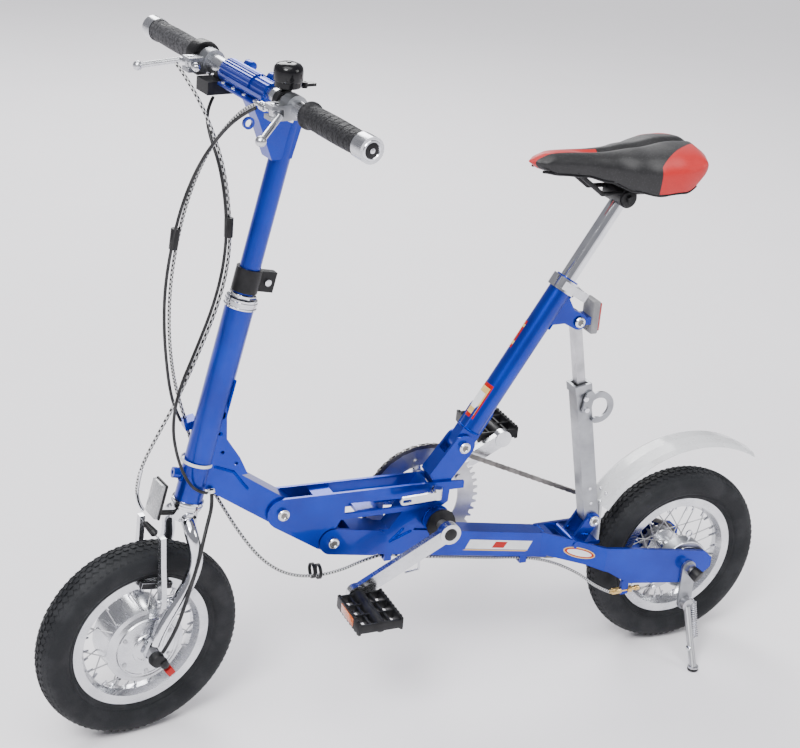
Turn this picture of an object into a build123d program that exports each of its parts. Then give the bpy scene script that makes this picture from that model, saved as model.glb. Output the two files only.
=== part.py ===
from build123d import *
import math
import os

# Folding electric bicycle with 12 1/2 in wheels. Front is -X, the rider's left side is -Y, up is +Z.
# Heights of frame points are given above the wheel axles and lengths back from the rear axle.

# ---- driving dimensions, mm ----
WHEELBASE = 935.0
TYRE_OD = 318.0
TYRE_WIDTH = 57.0
TREAD_FLAT = 22.0
RIM_OD = 217.0
RIM_WIDTH = 30.0
RIM_DEPTH = 20.0
SPOKE_DIA = 2.0
SPOKES = 28
BEAM_WIDTH = 32.0
BEAM_HEIGHT = 43.0
STRUT_DEPTH = 38.0
PLATE = 5.0
CRANK_LENGTH = 170.0
CRANK_LINE = 66.0
CRANK_ANGLE = 209.0
CHAIN_LINE = 42.0
CHAIN_PITCH = 12.7
CHAINRING_TEETH = 48
SPROCKET_TEETH = 16
RING_THICKNESS = 2.0
STAY_INNER_FACE = 50.0
STAY_THICKNESS = 6.0
AXLE_DIA = 10.0
PIVOT_DIA = 10.0
BOLT_HEAD = 9.0
SKEWER_DIA = 8.0
HEAD_TILT = 12.7
HEAD_LENGTH = 300.0
HEAD_OD = 42.0
STEERER_DIA = 25.4
STEM_OD = 30.0
STEER_REST = 10.0
BAR_DIA = 22.2
BAR_HALF = 278.0
GRIP_LENGTH = 125.0
GRIP_DIA = 33.0
SEAT_TUBE_OD = 36.0
SEAT_POST_DIA = 25.4
SEAT_POST_TOP = 447.0
STAY_TUBE = 26.0
STAY_TUBE_INNER = 15.0
STAY_TUBE_LENGTH = 250.0
BOTTOM_BRACKET_OD = 40.0
BOTTOM_BRACKET_LENGTH = 68.0
HUB_MOTOR_DIA = 122.0
BRAKE_DRUM_DIA = 80.0
MUDGUARD_GAP = 41.0
MUDGUARD_WIDTH = 62.0
CABLE_DIA = 5.0
STAND_FOOT_DIA = 18.0
SADDLE_SKIRT = 26.0
GUIDE_Y = -9.0
GUIDE_DROP = 5.5

# ---- clearances ----
RUN = 0.05
SIDE = 0.3
SEAT = 0.02

# ---- places of the frame's joints: (x, height above the axles) ----
FOLD_PIVOT = (-638.0, 124.0)
ARM_BOLT = (-722.0, 184.0)
SKEWER = (-476.0, 194.0)
SEAT_PIVOT = (-428.0, 257.0)
CRANK_AXIS = (-465.0, 139.0)
STAY_FOOT = (-176.0, 95.0)
STAY_TOP = (-249.0, 449.0)
REFLECTOR_BACK = 20.5
BEAM_END = (-252.0, 58.0)
STRUT_FOOT = (-538.0, 106.0)
HEAD_FOOT = (-WHEELBASE + 73.0, 220.0)
BAR_CENTRE = (-WHEELBASE + 136.0, 833.0)
SEAT_TUBE_ANGLE = 59.0
SEAT_TUBE_LENGTH = 305.0
KICKSTAND_PIVOT = (2.0, -66.0)
BRAKE_PIN = (-30.0, -24.0)
BRAKE_BOSS = (42.0, 80.0)

# ---- worked out ----
AXLE_Z = TYRE_OD / 2
ADJUSTER = (-147.0, -53.0, AXLE_Z - 26)
HALF = BEAM_WIDTH / 2
CHAINRING_R = CHAIN_PITCH / (2 * math.sin(math.pi / CHAINRING_TEETH))
SPROCKET_R = CHAIN_PITCH / (2 * math.sin(math.pi / SPROCKET_TEETH))
FRONT_AXLE = (-WHEELBASE, 0.0)
HEAD_UP = Vector(math.sin(math.radians(HEAD_TILT)), 0, math.cos(math.radians(HEAD_TILT)))
HEAD_FORWARD = Vector(-HEAD_UP.Z, 0, HEAD_UP.X)
HEAD_BASE = Vector(HEAD_FOOT[0], 0, AXLE_Z + HEAD_FOOT[1])
STAY_OUTER_FACE = STAY_INNER_FACE + STAY_THICKNESS
EAR_IN = HALF - PLATE
ARM_IN = HALF + SIDE

PARTS = {}


# ---- helpers ----
def at(point, y=0.0):
    """A point of the side view, at a distance y to the right."""
    return Vector(point[0], y, AXLE_Z + point[1])


def along(start, end, distance):
    """The side-view point at a distance from start towards end."""
    length = math.dist(start, end)
    return tuple(a + (b - a) * distance / length for a, b in zip(start, end))


def rod(p, q, radius):
    """A round bar from p to q."""
    p, q = Vector(*p), Vector(*q)
    return Plane(origin=p, z_dir=q - p) * Cylinder(
        radius, (q - p).length, align=(Align.CENTER, Align.CENTER, Align.MIN),
    )


def tube(p, q, radius, bore):
    """A round tube from p to q."""
    return rod(p, q, radius) - rod(p, q, bore)


def cross_rod(point, y0, y1, radius):
    """A round bar across the bicycle."""
    return rod(at(point, y0), at(point, y1), radius)


def cross_tube(point, y0, y1, radius, bore):
    """A round tube across the bicycle."""
    return cross_rod(point, y0, y1, radius) - cross_rod(point, y0, y1, bore)


def side_plane(y):
    """The side view's plane at y, facing the left side, with its origin at axle height."""
    return Plane(origin=(0, y, AXLE_Z), x_dir=(1, 0, 0), z_dir=(0, -1, 0))


def plate(points, y0, y1):
    """A flat plate with a side-view outline, between y0 and y1."""
    return extrude(side_plane(y1) * make_face(Polyline(*points, close=True)), amount=y1 - y0)


def bar(p, q, width, y0, y1):
    """A plate with round ends that runs from p to q in the side view."""
    middle = ((p[0] + q[0]) / 2, (p[1] + q[1]) / 2)
    turn = math.degrees(math.atan2(q[1] - p[1], q[0] - p[0]))
    face = Pos(*middle) * Rot(0, 0, turn) * SlotCenterToCenter(math.dist(p, q), width)
    return extrude(side_plane(y1) * face, amount=y1 - y0)


def beam(p, q, height, y0, y1):
    """A plate with square ends that runs from p to q in the side view."""
    middle = ((p[0] + q[0]) / 2, (p[1] + q[1]) / 2)
    turn = math.degrees(math.atan2(q[1] - p[1], q[0] - p[0]))
    face = Pos(*middle) * Rot(0, 0, turn) * Rectangle(math.dist(p, q), height)
    return extrude(side_plane(y1) * face, amount=y1 - y0)


def arc_slot(centre, radius, width, start, size, y0, y1):
    """A curved slot shape about a side-view centre."""
    face = Pos(*centre) * SlotArc(CenterArc((0, 0), radius, start, size), width)
    return extrude(side_plane(y1) * face, amount=y1 - y0)


def both(shape):
    """A shape that is made for the right side, with its left copy."""
    return shape + mirror(shape, about=Plane.XZ)


def turned(outline, centre):
    """A solid of revolution about an axle, from (radius, y) points."""
    face = make_face(Polyline(*[(r, y) for r, y in outline], close=True))
    return Pos(centre[0], 0, AXLE_Z + centre[1]) * revolve(face, Axis.Y)


def box(x0, x1, y0, y1, z0, z1):
    """A box from its limits, with heights above the axles."""
    size = (x1 - x0, y1 - y0, z1 - z0)
    return Pos((x0 + x1) / 2, (y0 + y1) / 2, AXLE_Z + (z0 + z1) / 2) * Box(*size)


def hexagon(point, y0, y1, across):
    """A hexagonal nut across the bicycle."""
    face = Pos(*point) * RegularPolygon(across / 2, 6, major_radius=False)
    return extrude(side_plane(y1) * face, amount=y1 - y0)


def head(distance, forward=0.0, y=0.0):
    """A point at a distance up the steering axis and forward of it."""
    return HEAD_BASE + HEAD_UP * distance + HEAD_FORWARD * forward + Vector(0, y, 0)


def cable(points, radii):
    """A round cable along straight runs joined by tangent arcs."""
    route = FilletPolyline(*points, radius=radii)
    start = Plane(origin=route @ 0, z_dir=route % 0)
    return sweep(start * Circle(CABLE_DIA / 2), path=route)


def keep(name, *shapes):
    """Keep a node's solids under its name."""
    PARTS[name] = shapes


# ---- wheels ----
def tyre(centre):
    """A tyre whose crown is flat enough to stand on."""
    crown = TYRE_OD / 2
    bead = RIM_OD / 2 - 6
    wide = TYRE_WIDTH / 2
    middle = (crown + bead) / 2 + 3
    flat = TREAD_FLAT / 2
    seat = RIM_WIDTH / 2 - 3
    side = Spline(
        (flat, crown), (wide - 4, crown - 8), (wide, middle), (RIM_WIDTH / 2 + 2, bead + 10),
        tangents=[(1, 0), (-0.6, -1)],
    )
    lip = Polyline(
        (RIM_WIDTH / 2 + 2, bead + 10), (RIM_WIDTH / 2 + 1, bead + 7), (seat, bead + 7), (seat, bead),
        (0, bead),
    )
    half = make_face([side, lip, Line((0, bead), (0, crown)), Line((0, crown), (flat, crown))])
    face = half + mirror(half, about=Plane.YZ)
    ring = revolve(Rot(0, 0, -90) * face, Axis.Y)
    return Pos(centre[0], 0, AXLE_Z + centre[1]) * ring


def rim(centre):
    """An alloy rim with a well, two flanges and braking tracks."""
    top = RIM_OD / 2
    low = top - RIM_DEPTH
    edge = RIM_WIDTH / 2
    outline = [
        (low, 5), (low, -5), (top - 14, -edge), (top, -edge), (top, -edge + 2.4),
        (top - 6 - SEAT, -edge + 2.4),
        (top - 6 - SEAT, -edge + 5), (top - 11, -edge + 8), (top - 11, edge - 8), (top - 6 - SEAT, edge - 5),
        (top - 6 - SEAT, edge - 2.4), (top, edge - 2.4), (top, edge), (top - 14, edge),
    ]
    return turned(outline, centre)


def spokes(centre, flange_radius, flanges, sweep_angle):
    """Crossed spokes from the hub's flanges to the rim, as separate solids."""
    reach = RIM_OD / 2 - RIM_DEPTH + 1.0
    solids = []
    for side, flange in enumerate(flanges):
        for i in range(SPOKES // 2):
            hand = 1 if i % 2 else -1
            outer = math.radians(360 / SPOKES * (2 * i + side))
            inner = outer + hand * math.radians(sweep_angle)
            inside = flange + hand * 1.8
            start = at(
                (centre[0] + flange_radius * math.cos(inner), centre[1] + flange_radius * math.sin(inner)),
                inside,
            )
            end = at(
                (centre[0] + reach * math.cos(outer), centre[1] + reach * math.sin(outer)),
                2.2 if side else -2.2,
            )
            solids.append(rod(start, end, SPOKE_DIA / 2))
    return solids


def wheel_parts():
    """Both wheels with their hubs, spokes, rims and tyres."""
    for name, centre in (("front", FRONT_AXLE), ("rear", (0.0, 0.0))):
        keep(f"{name}_tyre", tyre(centre))
        keep(f"{name}_rim", rim(centre))
    bore = AXLE_DIA / 2 + RUN
    motor = HUB_MOTOR_DIA / 2
    drum = [
        (bore, -37), (13, -37), (18, -35), (motor - 14, -32), (motor - 6, -28), (motor, -26), (motor, 26),
        (motor - 6, 28), (motor - 14, 32), (18, 35), (13, 37), (bore, 37),
    ]
    keep("front_hub", turned(drum, FRONT_AXLE))
    keep("front_spokes", *spokes(FRONT_AXLE, motor - 2.0, (-20.0, 20.0), 8))
    brake = BRAKE_DRUM_DIA / 2
    shell = [
        (bore, -40), (brake, -40), (brake, -22), (24, -21), (24, -19), (29, -19), (29, -15), (17, -13),
        (17, 20),
        (29, 22), (29, 26), (17, 28), (14, 31), (14, 44), (bore, 44),
    ]
    keep("rear_hub", turned(shell, (0.0, 0.0)))
    keep("rear_spokes", *spokes((0.0, 0.0), 27.5, (-17.0, 24.0), 62))


def toothed(radius, teeth, y0, y1, bore, centre):
    """A chain wheel with its teeth."""
    outline = []
    for i in range(teeth):
        for share, r in (
            (-0.27, radius - 4.2), (-0.10, radius + 3.2), (0.10, radius + 3.2), (0.27, radius - 4.2),
        ):
            turn = 2 * math.pi * (i + share) / teeth
            outline.append((centre[0] + r * math.cos(turn), centre[1] + r * math.sin(turn)))
    return plate(outline, y0, y1) - cross_rod(centre, y0 - 1, y1 + 1, bore)


def drive_parts():
    """Crank set, chain, freewheel sprocket and pedals."""
    half_shell = BOTTOM_BRACKET_LENGTH / 2
    axle_r = 8.5
    cup = cross_tube(CRANK_AXIS, half_shell + SEAT, half_shell + 4, 24, axle_r + RUN)
    keep("bottom_bracket_cups", cup, mirror(cup, about=Plane.XZ))
    keep("bottom_bracket_axle", cross_rod(CRANK_AXIS, -CRANK_LINE - 6, CRANK_LINE + 6, axle_r))
    ring_y = CHAIN_LINE - RING_THICKNESS / 2
    ring_bore = CHAINRING_R - 32
    ring = toothed(CHAINRING_R, CHAINRING_TEETH, ring_y, ring_y + RING_THICKNESS, ring_bore, CRANK_AXIS)
    turn = math.radians(CRANK_ANGLE)
    for side, hand in (("left", 1), ("right", -1)):
        y_in = (CRANK_LINE - 7) * -hand
        y_out = (CRANK_LINE + 7) * -hand
        low, high = sorted((y_in, y_out))
        end = (
            CRANK_AXIS[0] + hand * CRANK_LENGTH * math.cos(turn),
            CRANK_AXIS[1] + hand * CRANK_LENGTH * math.sin(turn),
        )
        arm = bar(CRANK_AXIS, end, 24, low + 2.5, high - 1.5) + cross_rod(CRANK_AXIS, low, high, 17)
        arm += cross_rod(end, low + 1, high, 14)
        if side == "right":
            bolts = []
            for i in range(5):
                spoke = math.radians(CRANK_ANGLE + 36 + 72 * i)
                tip = (
                    CRANK_AXIS[0] + (ring_bore + 7) * math.cos(spoke),
                    CRANK_AXIS[1] + (ring_bore + 7) * math.sin(spoke),
                )
                arm += bar(CRANK_AXIS, tip, 14, ring_y + RING_THICKNESS + SEAT, ring_y + RING_THICKNESS + 5)
                bolts.append(tip)
            arm += cross_rod(CRANK_AXIS, ring_y + RING_THICKNESS + SEAT, low + 1, 22)
            for tip in bolts:
                ring += cross_rod(tip, ring_y - 3, ring_y, 5)
        arm -= cross_rod(CRANK_AXIS, -CRANK_LINE - 20, CRANK_LINE + 20, axle_r + SEAT)
        pedal_in = CRANK_LINE + 7.5
        pedal_out = pedal_in + 94
        axle = cross_rod(end, *sorted((-hand * (CRANK_LINE + 7 + SEAT), -hand * (pedal_out - 4))), 6)
        keep(f"crank_{side}", arm, axle)
        keep(f"pedal_{side}", pedal(end, *sorted((-hand * pedal_in, -hand * pedal_out))))
    keep("chainring", ring)
    freewheel = cross_tube((0.0, 0.0), CHAIN_LINE - 6, CHAIN_LINE + 3.5, 24, 14 + RUN)
    cog = toothed(SPROCKET_R, SPROCKET_TEETH, ring_y, ring_y + RING_THICKNESS, 14 + RUN, (0.0, 0.0))
    keep("rear_sprocket", freewheel + cog)
    keep("chain", *chain())


def belt(offset, y0, y1):
    """A flat loop around both chain wheels, at an offset from the pitch line."""
    circles = [
        Pos(*CRANK_AXIS) * Circle(CHAINRING_R + offset),
        Pos(0, 0) * Circle(SPROCKET_R + offset),
    ]
    hull = make_hull([circle.edge() for circle in circles])
    return extrude(side_plane(y1) * hull, amount=y1 - y0)


def chain():
    """The chain as its two rows of side plates, with the teeth running between them."""
    inner = RING_THICKNESS / 2 + SIDE
    outer = inner + 1.8
    rows = []
    for hand in (-1, 1):
        y0, y1 = sorted((CHAIN_LINE + hand * inner, CHAIN_LINE + hand * outer))
        rows.append(belt(4.2, y0, y1) - belt(-4.2, y0 - 1, y1 + 1))
    return rows


def pedal(centre, y0, y1):
    """A flat pedal: a barrel on the axle inside a rectangular cage."""
    x, z = centre
    shape = box(x - 36, x + 36, y0 + 3, y1, z - 12, z + 12) - box(
        x - 31, x + 31, y0 + 8, y1 - 5, z - 20, z + 20,
    )
    shape += cross_rod(centre, y0, y1, 12)
    shape += box(x - 33, x + 33, (y0 + y1) / 2 - 4, (y0 + y1) / 2 + 4, z - 8, z + 8)
    return shape - cross_rod(centre, y0 - 2, y1 + 2, 6 + RUN)


# ---- rear frame and what is fixed to it ----
def rear_frame():
    """Rear beam, strut, bottom bracket shell, chain-stay arms and the stay's clevis."""
    box_start = along(FOLD_PIVOT, BEAM_END, BEAM_HEIGHT / 2 + 4)
    shape = beam(box_start, BEAM_END, BEAM_HEIGHT, -HALF, HALF)
    ear = bar(FOLD_PIVOT, along(FOLD_PIVOT, BEAM_END, 70), BEAM_HEIGHT, HALF, HALF + PLATE)
    shape += both(ear)
    strut_end = along(SEAT_PIVOT, STRUT_FOOT, STRUT_DEPTH / 2 + 5)
    shape += beam(STRUT_FOOT, strut_end, STRUT_DEPTH, -HALF, HALF)
    shape += both(bar(SEAT_PIVOT, strut_end, STRUT_DEPTH, EAR_IN, HALF))
    shell_half = BOTTOM_BRACKET_LENGTH / 2
    gusset = [
        CRANK_AXIS, along(STRUT_FOOT, SEAT_PIVOT, 70), along(STRUT_FOOT, SEAT_PIVOT, 10),
        along(FOLD_PIVOT, BEAM_END, 120), along(FOLD_PIVOT, BEAM_END, 190),
    ]
    shape += plate(gusset, -HALF + 4, HALF - 4)
    shape += cross_rod(CRANK_AXIS, -shell_half, shell_half, BOTTOM_BRACKET_OD / 2)
    shape += arms() + bridge() + guides()
    for point in (FOLD_PIVOT, SEAT_PIVOT, STAY_FOOT):
        shape -= cross_rod(point, -60, 60, PIVOT_DIA / 2 + SEAT)
    shape -= cross_rod(CRANK_AXIS, -60, 60, 16)
    shape -= cross_rod((0.0, 0.0), -70, 70, AXLE_DIA / 2 + SEAT)
    radius = math.dist(FOLD_PIVOT, SKEWER)
    start = math.degrees(math.atan2(SKEWER[1] - FOLD_PIVOT[1], SKEWER[0] - FOLD_PIVOT[0]))
    return shape - arc_slot(FOLD_PIVOT, radius, SKEWER_DIA + 2 * SIDE, start, 20, -60, 60)


def arms():
    """The two flat arms that spread from the beam and carry the rear axle."""
    flare = -163.0
    root = BEAM_END[0] - 16
    plan = [
        (root, EAR_IN), (flare, STAY_INNER_FACE), (46, STAY_INNER_FACE), (46, STAY_OUTER_FACE),
        (flare - 3, STAY_OUTER_FACE), (root, HALF),
    ]
    side = [
        (root, 84), (-163, 59), (-130, 54), (30, 26), (46, 12), (46, -6), (30, -18), (-10, -28), (-116, -13),
        (-158, 15), (-195, 28), (root, 44),
    ]
    spread = extrude(Plane.XY * make_face(Polyline(*plan, close=True)), amount=2 * AXLE_Z)
    lug = box(
        ADJUSTER[0] + 20, ADJUSTER[0] + 33, -STAY_OUTER_FACE, -STAY_INNER_FACE, ADJUSTER[2] - AXLE_Z - 7, -8,
    )
    lug -= rod(ADJUSTER, (ADJUSTER[0] + 60, *ADJUSTER[1:]), 3 + SEAT)
    return both(spread & plate(side, 0, 2 * STAY_OUTER_FACE)) + lug


def bridge():
    """The cross piece between the arms, with the ears that hold the stay's foot and the mudguard's seat."""
    wide = 38.0
    shape = bar((-214, 64), (-190, 52), 12, -wide, wide)
    shape += both(bar((-198, 62), STAY_FOOT, 24, STAY_TUBE / 2 + SIDE, STAY_TUBE / 2 + SIDE + PLATE))
    return shape + box(-196, -155, -14, 14, 46, 52)


def guides():
    """Two cable guides under the rear beam, on the left."""
    shape = None
    for distance in (98, 345):
        middle = along(FOLD_PIVOT, BEAM_END, distance)
        low = middle[1] - BEAM_HEIGHT / 2
        block = box(middle[0] - 6, middle[0] + 6, GUIDE_Y - 7, GUIDE_Y + 7, low - 12, low + 2)
        hole = AXLE_Z + low - GUIDE_DROP
        block -= rod((middle[0] - 20, GUIDE_Y, hole), (middle[0] + 20, GUIDE_Y, hole), CABLE_DIA / 2 + 2.2)
        shape = block if shape is None else shape + block
    return shape


def pivot_bolt(point, half_width):
    """A through bolt with a domed head on each side."""
    shape = cross_rod(point, -half_width, half_width, PIVOT_DIA / 2)
    cap = cross_rod(point, half_width + SEAT, half_width + 5, BOLT_HEAD)
    return shape + both(cap) + cross_rod(point, -half_width - 1, half_width + 1, PIVOT_DIA / 2)


def rear_parts():
    """The rear frame and the parts that stay fixed to it."""
    keep("rear_frame", rear_frame())
    keep(
        "frame_bolts",
        pivot_bolt(FOLD_PIVOT, HALF + PLATE),
        pivot_bolt(SEAT_PIVOT, HALF),
        pivot_bolt(STAY_FOOT, STAY_TUBE / 2 + SIDE + PLATE),
    )
    axle = cross_rod((0.0, 0.0), -76, 70, AXLE_DIA / 2)
    axle += hexagon((0.0, 0.0), -70, -STAY_OUTER_FACE - PLATE - SEAT, 18)
    axle += hexagon((0.0, 0.0), STAY_OUTER_FACE + SEAT, 66, 18)
    keep("rear_axle", axle)
    drum = BRAKE_DRUM_DIA / 2
    brake = cross_tube((0.0, 0.0), -45, -42, drum + 3, AXLE_DIA / 2 + SEAT)
    brake += cross_tube((0.0, 0.0), -42, -24, drum + 3, drum + 1)
    brake += bar((0.0, 0.0), (-68, 4), 16, -45, -42) - cross_rod((0.0, 0.0), -50, 0, AXLE_DIA / 2 + SEAT)
    brake += cross_rod(BRAKE_PIN, -49, -44, 3)
    keep("band_brake", brake, *barrel_adjuster())
    lever = bar(BRAKE_PIN, (-58, -34), 11, -48, -45 - SIDE)
    keep("band_brake_arm", lever - cross_rod(BRAKE_PIN, -60, 0, 3 + RUN))
    hanger = bar((0.0, 0.0), KICKSTAND_PIVOT, 26, -STAY_OUTER_FACE - PLATE, -STAY_OUTER_FACE - SEAT)
    hanger -= cross_rod((0.0, 0.0), -80, 0, AXLE_DIA / 2 + SEAT)
    hanger += cross_rod(KICKSTAND_PIVOT, -STAY_OUTER_FACE - PLATE - 12, -STAY_OUTER_FACE - PLATE + 1, 4)
    keep("kickstand_bracket", hanger)
    keep("kickstand_leg", kickstand())
    keep("rear_mudguard", mudguard())


def barrel_adjuster():
    """The rear brake's hollow adjusting screw in its lug, and its lock nut."""
    x, y, z = ADJUSTER
    screw = rod(ADJUSTER, (x + 54, y, z), 3) + rod((x + 6, y, z), (x + 20 - SEAT, y, z), 5)
    nut = tube((x + 33 + SEAT, y, z), (x + 39, y, z), 5.5, 3 + SEAT)
    return screw, nut


def kickstand():
    """The side stand's leg, splayed to the left, with a flat foot on the ground."""
    y_in = -STAY_OUTER_FACE - PLATE - SIDE
    top = at(KICKSTAND_PIVOT, y_in - 6)
    foot = Vector(-8, -126, 5)
    shape = cross_rod(KICKSTAND_PIVOT, y_in - 12, y_in, 11)
    shape += rod(top, foot, 6) + rod((foot.X, foot.Y, 0), (foot.X, foot.Y, 8), STAND_FOOT_DIA / 2)
    return shape - cross_rod(KICKSTAND_PIVOT, y_in - 14, y_in + 2, 4 + RUN)


def mudguard():
    """A thin arched guard over the rear wheel, with a tail that stands off the tyre."""
    centre = (12.0, 10.0)
    radius = TYRE_OD / 2 + MUDGUARD_GAP
    half = MUDGUARD_WIDTH / 2
    hoop = turned([
        (radius, -half), (radius + 4, -half + 8), (radius + 6, 0), (radius + 4, half - 8), (radius, half),
        (radius + 1.5, half), (radius + 5.6, half - 8), (radius + 7.6, 0), (radius + 5.6, -half + 8),
        (radius + 1.5, -half),
    ], centre)
    reach = 2 * radius
    start, end = math.radians(148), math.radians(58)
    wedge = [centre]
    for i in range(5):
        turn = start + (end - start) * i / 4
        wedge.append((centre[0] + reach * math.cos(turn), centre[1] + reach * math.sin(turn)))
    hoop = hoop & plate(wedge, -half - 1, half + 1)
    low = (centre[0] + (radius + 5) * math.cos(start), centre[1] + (radius + 5) * math.sin(start))
    strap = plate(
        [(low[0] - 1, low[1] + 4), (low[0] + 3, low[1] + 6), (-156, 52 + SEAT), (-159, 52 + SEAT)], -12, 12,
    )
    return hoop + strap


# ---- front frame ----
def front_frame():
    """Head tube, gussets, front beam and the two arms that reach back over the strut."""
    crown = (HEAD_FOOT[0] + 11, HEAD_FOOT[1] + 52)
    shape = bar(FOLD_PIVOT, ARM_BOLT, STRUT_DEPTH + 4, -HALF + SIDE, HALF - SIDE)
    shape += beam(ARM_BOLT, crown, 44, -HALF, HALF)
    shape += tube(head(0), head(HEAD_LENGTH), HEAD_OD / 2, HEAD_OD / 2 - 4)
    bx, bz = HEAD_FOOT
    gusset = [
        (bx + 24, bz + 30), (bx + 84, bz + 36), (bx + 71, bz + 64), (bx + 50, bz + 96), (bx + 48, bz + 159),
        (bx + 36, bz + 172),
    ]
    shape += both(plate(gusset, HALF - PLATE, HALF))
    for hole, size in (
        ((bx + 42, bz + 134), 6), ((bx + 40, bz + 105), 3), ((bx + 44, bz + 75), 3), ((bx + 65, bz + 55), 3),
    ):
        shape -= cross_rod(hole, HALF - PLATE - 1, HALF + 1, size)
        shape -= cross_rod(hole, -HALF - 1, -HALF + PLATE + 1, size)
    shape -= rod(head(-1), head(HEAD_LENGTH + 1), HEAD_OD / 2 - 4)
    shape += rod(head(38, HEAD_OD / 2 - 2), head(38, HEAD_OD / 2 + 13), 8)
    shape -= rod(head(38, 0), head(38, HEAD_OD / 2 + 20), 3)
    shape += arm_plates() + cable_clip()
    shape -= cross_rod(FOLD_PIVOT, -60, 60, PIVOT_DIA / 2 + RUN)
    return shape - cross_rod(ARM_BOLT, -60, 60, PIVOT_DIA / 2 + SEAT)


def cable_clip():
    """The clip on the right of the head tube that holds the rear brake cable."""
    low, high = Vector(-857.6, 31, 478), Vector(-862.4, 31, 496)
    block = Plane(
        origin=(low + high) * 0.5, x_dir=(0, 1, 0), z_dir=high - low,
    ) * Pos(-6, -4, 0) * Box(22, 20, 12)
    return block - rod(low - (high - low), high + (high - low), CABLE_DIA / 2 + 1)


def arm_plates():
    """The two long side plates, their slots and the cross plates between them."""
    tip = (SKEWER[0] + 52, SKEWER[1])
    low = SKEWER[1] - 33
    outline = [
        (ARM_BOLT[0], ARM_BOLT[1] + 24), (tip[0] - 92, tip[1] + 11), (tip[0] - 24, tip[1] + 9),
        (tip[0], tip[1] + 7),
        (tip[0], tip[1] - 5), (tip[0] - 24, tip[1] - 5), (tip[0] - 25, low + 8), (tip[0] - 34, low + 2),
        (tip[0] - 90, low), (FOLD_PIVOT[0] + 10, low), (FOLD_PIVOT[0] - 17, FOLD_PIVOT[1] - 13),
        (ARM_BOLT[0] - 14, ARM_BOLT[1] - 20),
    ]
    slot = [
        (tip[0] - 198, low + 9), (tip[0] - 198, low + 27), (tip[0] - 46, low + 21), (tip[0] - 38, low + 12),
        (tip[0] - 50, low + 8),
    ]
    side = plate(outline, ARM_IN, ARM_IN + PLATE) + cross_rod(ARM_BOLT, ARM_IN, ARM_IN + PLATE, 24)
    side -= plate(slot, ARM_IN - 1, ARM_IN + PLATE + 1)
    side -= cross_rod(FOLD_PIVOT, ARM_IN - 1, ARM_IN + PLATE + 1, BEAM_HEIGHT / 2 + 3)
    side -= cross_rod(SKEWER, ARM_IN - 1, ARM_IN + PLATE + 1, SKEWER_DIA / 2 + SEAT)
    shape = both(side)
    top = SKEWER[1] + 10
    shape += box(FOLD_PIVOT[0] - 32, FOLD_PIVOT[0], -ARM_IN - 1, ARM_IN + 1, top - 8, top - 2)
    shape += box(FOLD_PIVOT[0] + 40, FOLD_PIVOT[0] + 76, -ARM_IN - 1, ARM_IN + 1, low + 1, low + 7)
    return shape + bar(ARM_BOLT, along(ARM_BOLT, FOLD_PIVOT, 40), 40, -ARM_IN - 1, ARM_IN + 1)


def front_parts():
    """The front frame, its headset, bolts, clamping skewer and lever."""
    keep("front_frame", front_frame())
    lower = tube(head(-13), head(-SEAT), 22.5, STEERER_DIA / 2 + RUN)
    upper = tube(head(HEAD_LENGTH + SEAT), head(HEAD_LENGTH + 14), 22.5, STEERER_DIA / 2 + RUN)
    keep("headset_cups", lower, upper)
    width = ARM_IN + PLATE
    skewer = cross_rod(
        SKEWER, -width - 12, width, SKEWER_DIA / 2,
    ) + cross_rod(SKEWER, width + SEAT, width + 9, 8)
    skewer += cross_rod(SKEWER, -width - 6, -width - SEAT, 8)
    skewer += cross_rod(SKEWER, width - 1, width + 1, SKEWER_DIA / 2)
    keep("front_frame_bolts", pivot_bolt(ARM_BOLT, width), skewer)
    y = -width - 9
    knob = rod(at((SKEWER[0], SKEWER[1] - 9), y - 6), at((SKEWER[0], SKEWER[1] + 9), y - 6), 7)
    lever = bar((SKEWER[0] - 4, SKEWER[1] - 2), (SKEWER[0] - 58, SKEWER[1] - 4), 13, y - 12, y - 8) + knob
    lever -= bar((SKEWER[0] - 48, SKEWER[1] - 4), (SKEWER[0] - 58, SKEWER[1] - 4), 5, y - 16, y - 4)
    reach = SKEWER_DIA / 2 + SIDE
    gap = box(SKEWER[0] - reach, SKEWER[0] + 20, y - 6 - reach, y + 14, SKEWER[1] - reach, SKEWER[1] + reach)
    core = rod(at((SKEWER[0], SKEWER[1] - 9), y - 6), at((SKEWER[0], SKEWER[1] + 9), y - 6), 3 - RUN)
    keep("frame_lever", lever - (gap - core))


# ---- steering: built straight ahead and turned to its rest angle afterwards ----
def bar_point(forward, y, up):
    """A point set out from the handlebar's middle."""
    return Vector(BAR_CENTRE[0] - forward, y, AXLE_Z + BAR_CENTRE[1] + up)


def fork():
    """Crown, curved legs, dropouts, steerer and the brake bosses."""
    leg_r = 10.0
    track = 46.0
    x = FRONT_AXLE[0]
    route = Spline(
        head(-27, 2, 14), head(-42, 2, track - 8), Vector(x + 66, track, AXLE_Z + 145),
        Vector(x + 36, track + 2, AXLE_Z + 76),
        Vector(x + 6, track + 3, AXLE_Z + 14),
    )
    leg = sweep(Plane(origin=route @ 0, z_dir=route % 0) * Circle(leg_r), path=route)
    drop = bar(FRONT_AXLE, (x + 9, 22), 24, track, track + 7)
    shape = both(leg + drop)
    shape += rod(head(-32), head(-13 - SEAT), 20) + rod(head(-26, 2, -24), head(-26, 2, 24), 11)
    shape += rod(head(-20), head(HEAD_LENGTH + 75), STEERER_DIA / 2)
    boss = at((x + 10, BRAKE_BOSS[1]), BRAKE_BOSS[0])
    shape += both(rod(boss, boss + Vector(34, 0, 0), 5))
    return shape - cross_rod(FRONT_AXLE, -80, 80, AXLE_DIA / 2 + SEAT)


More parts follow.
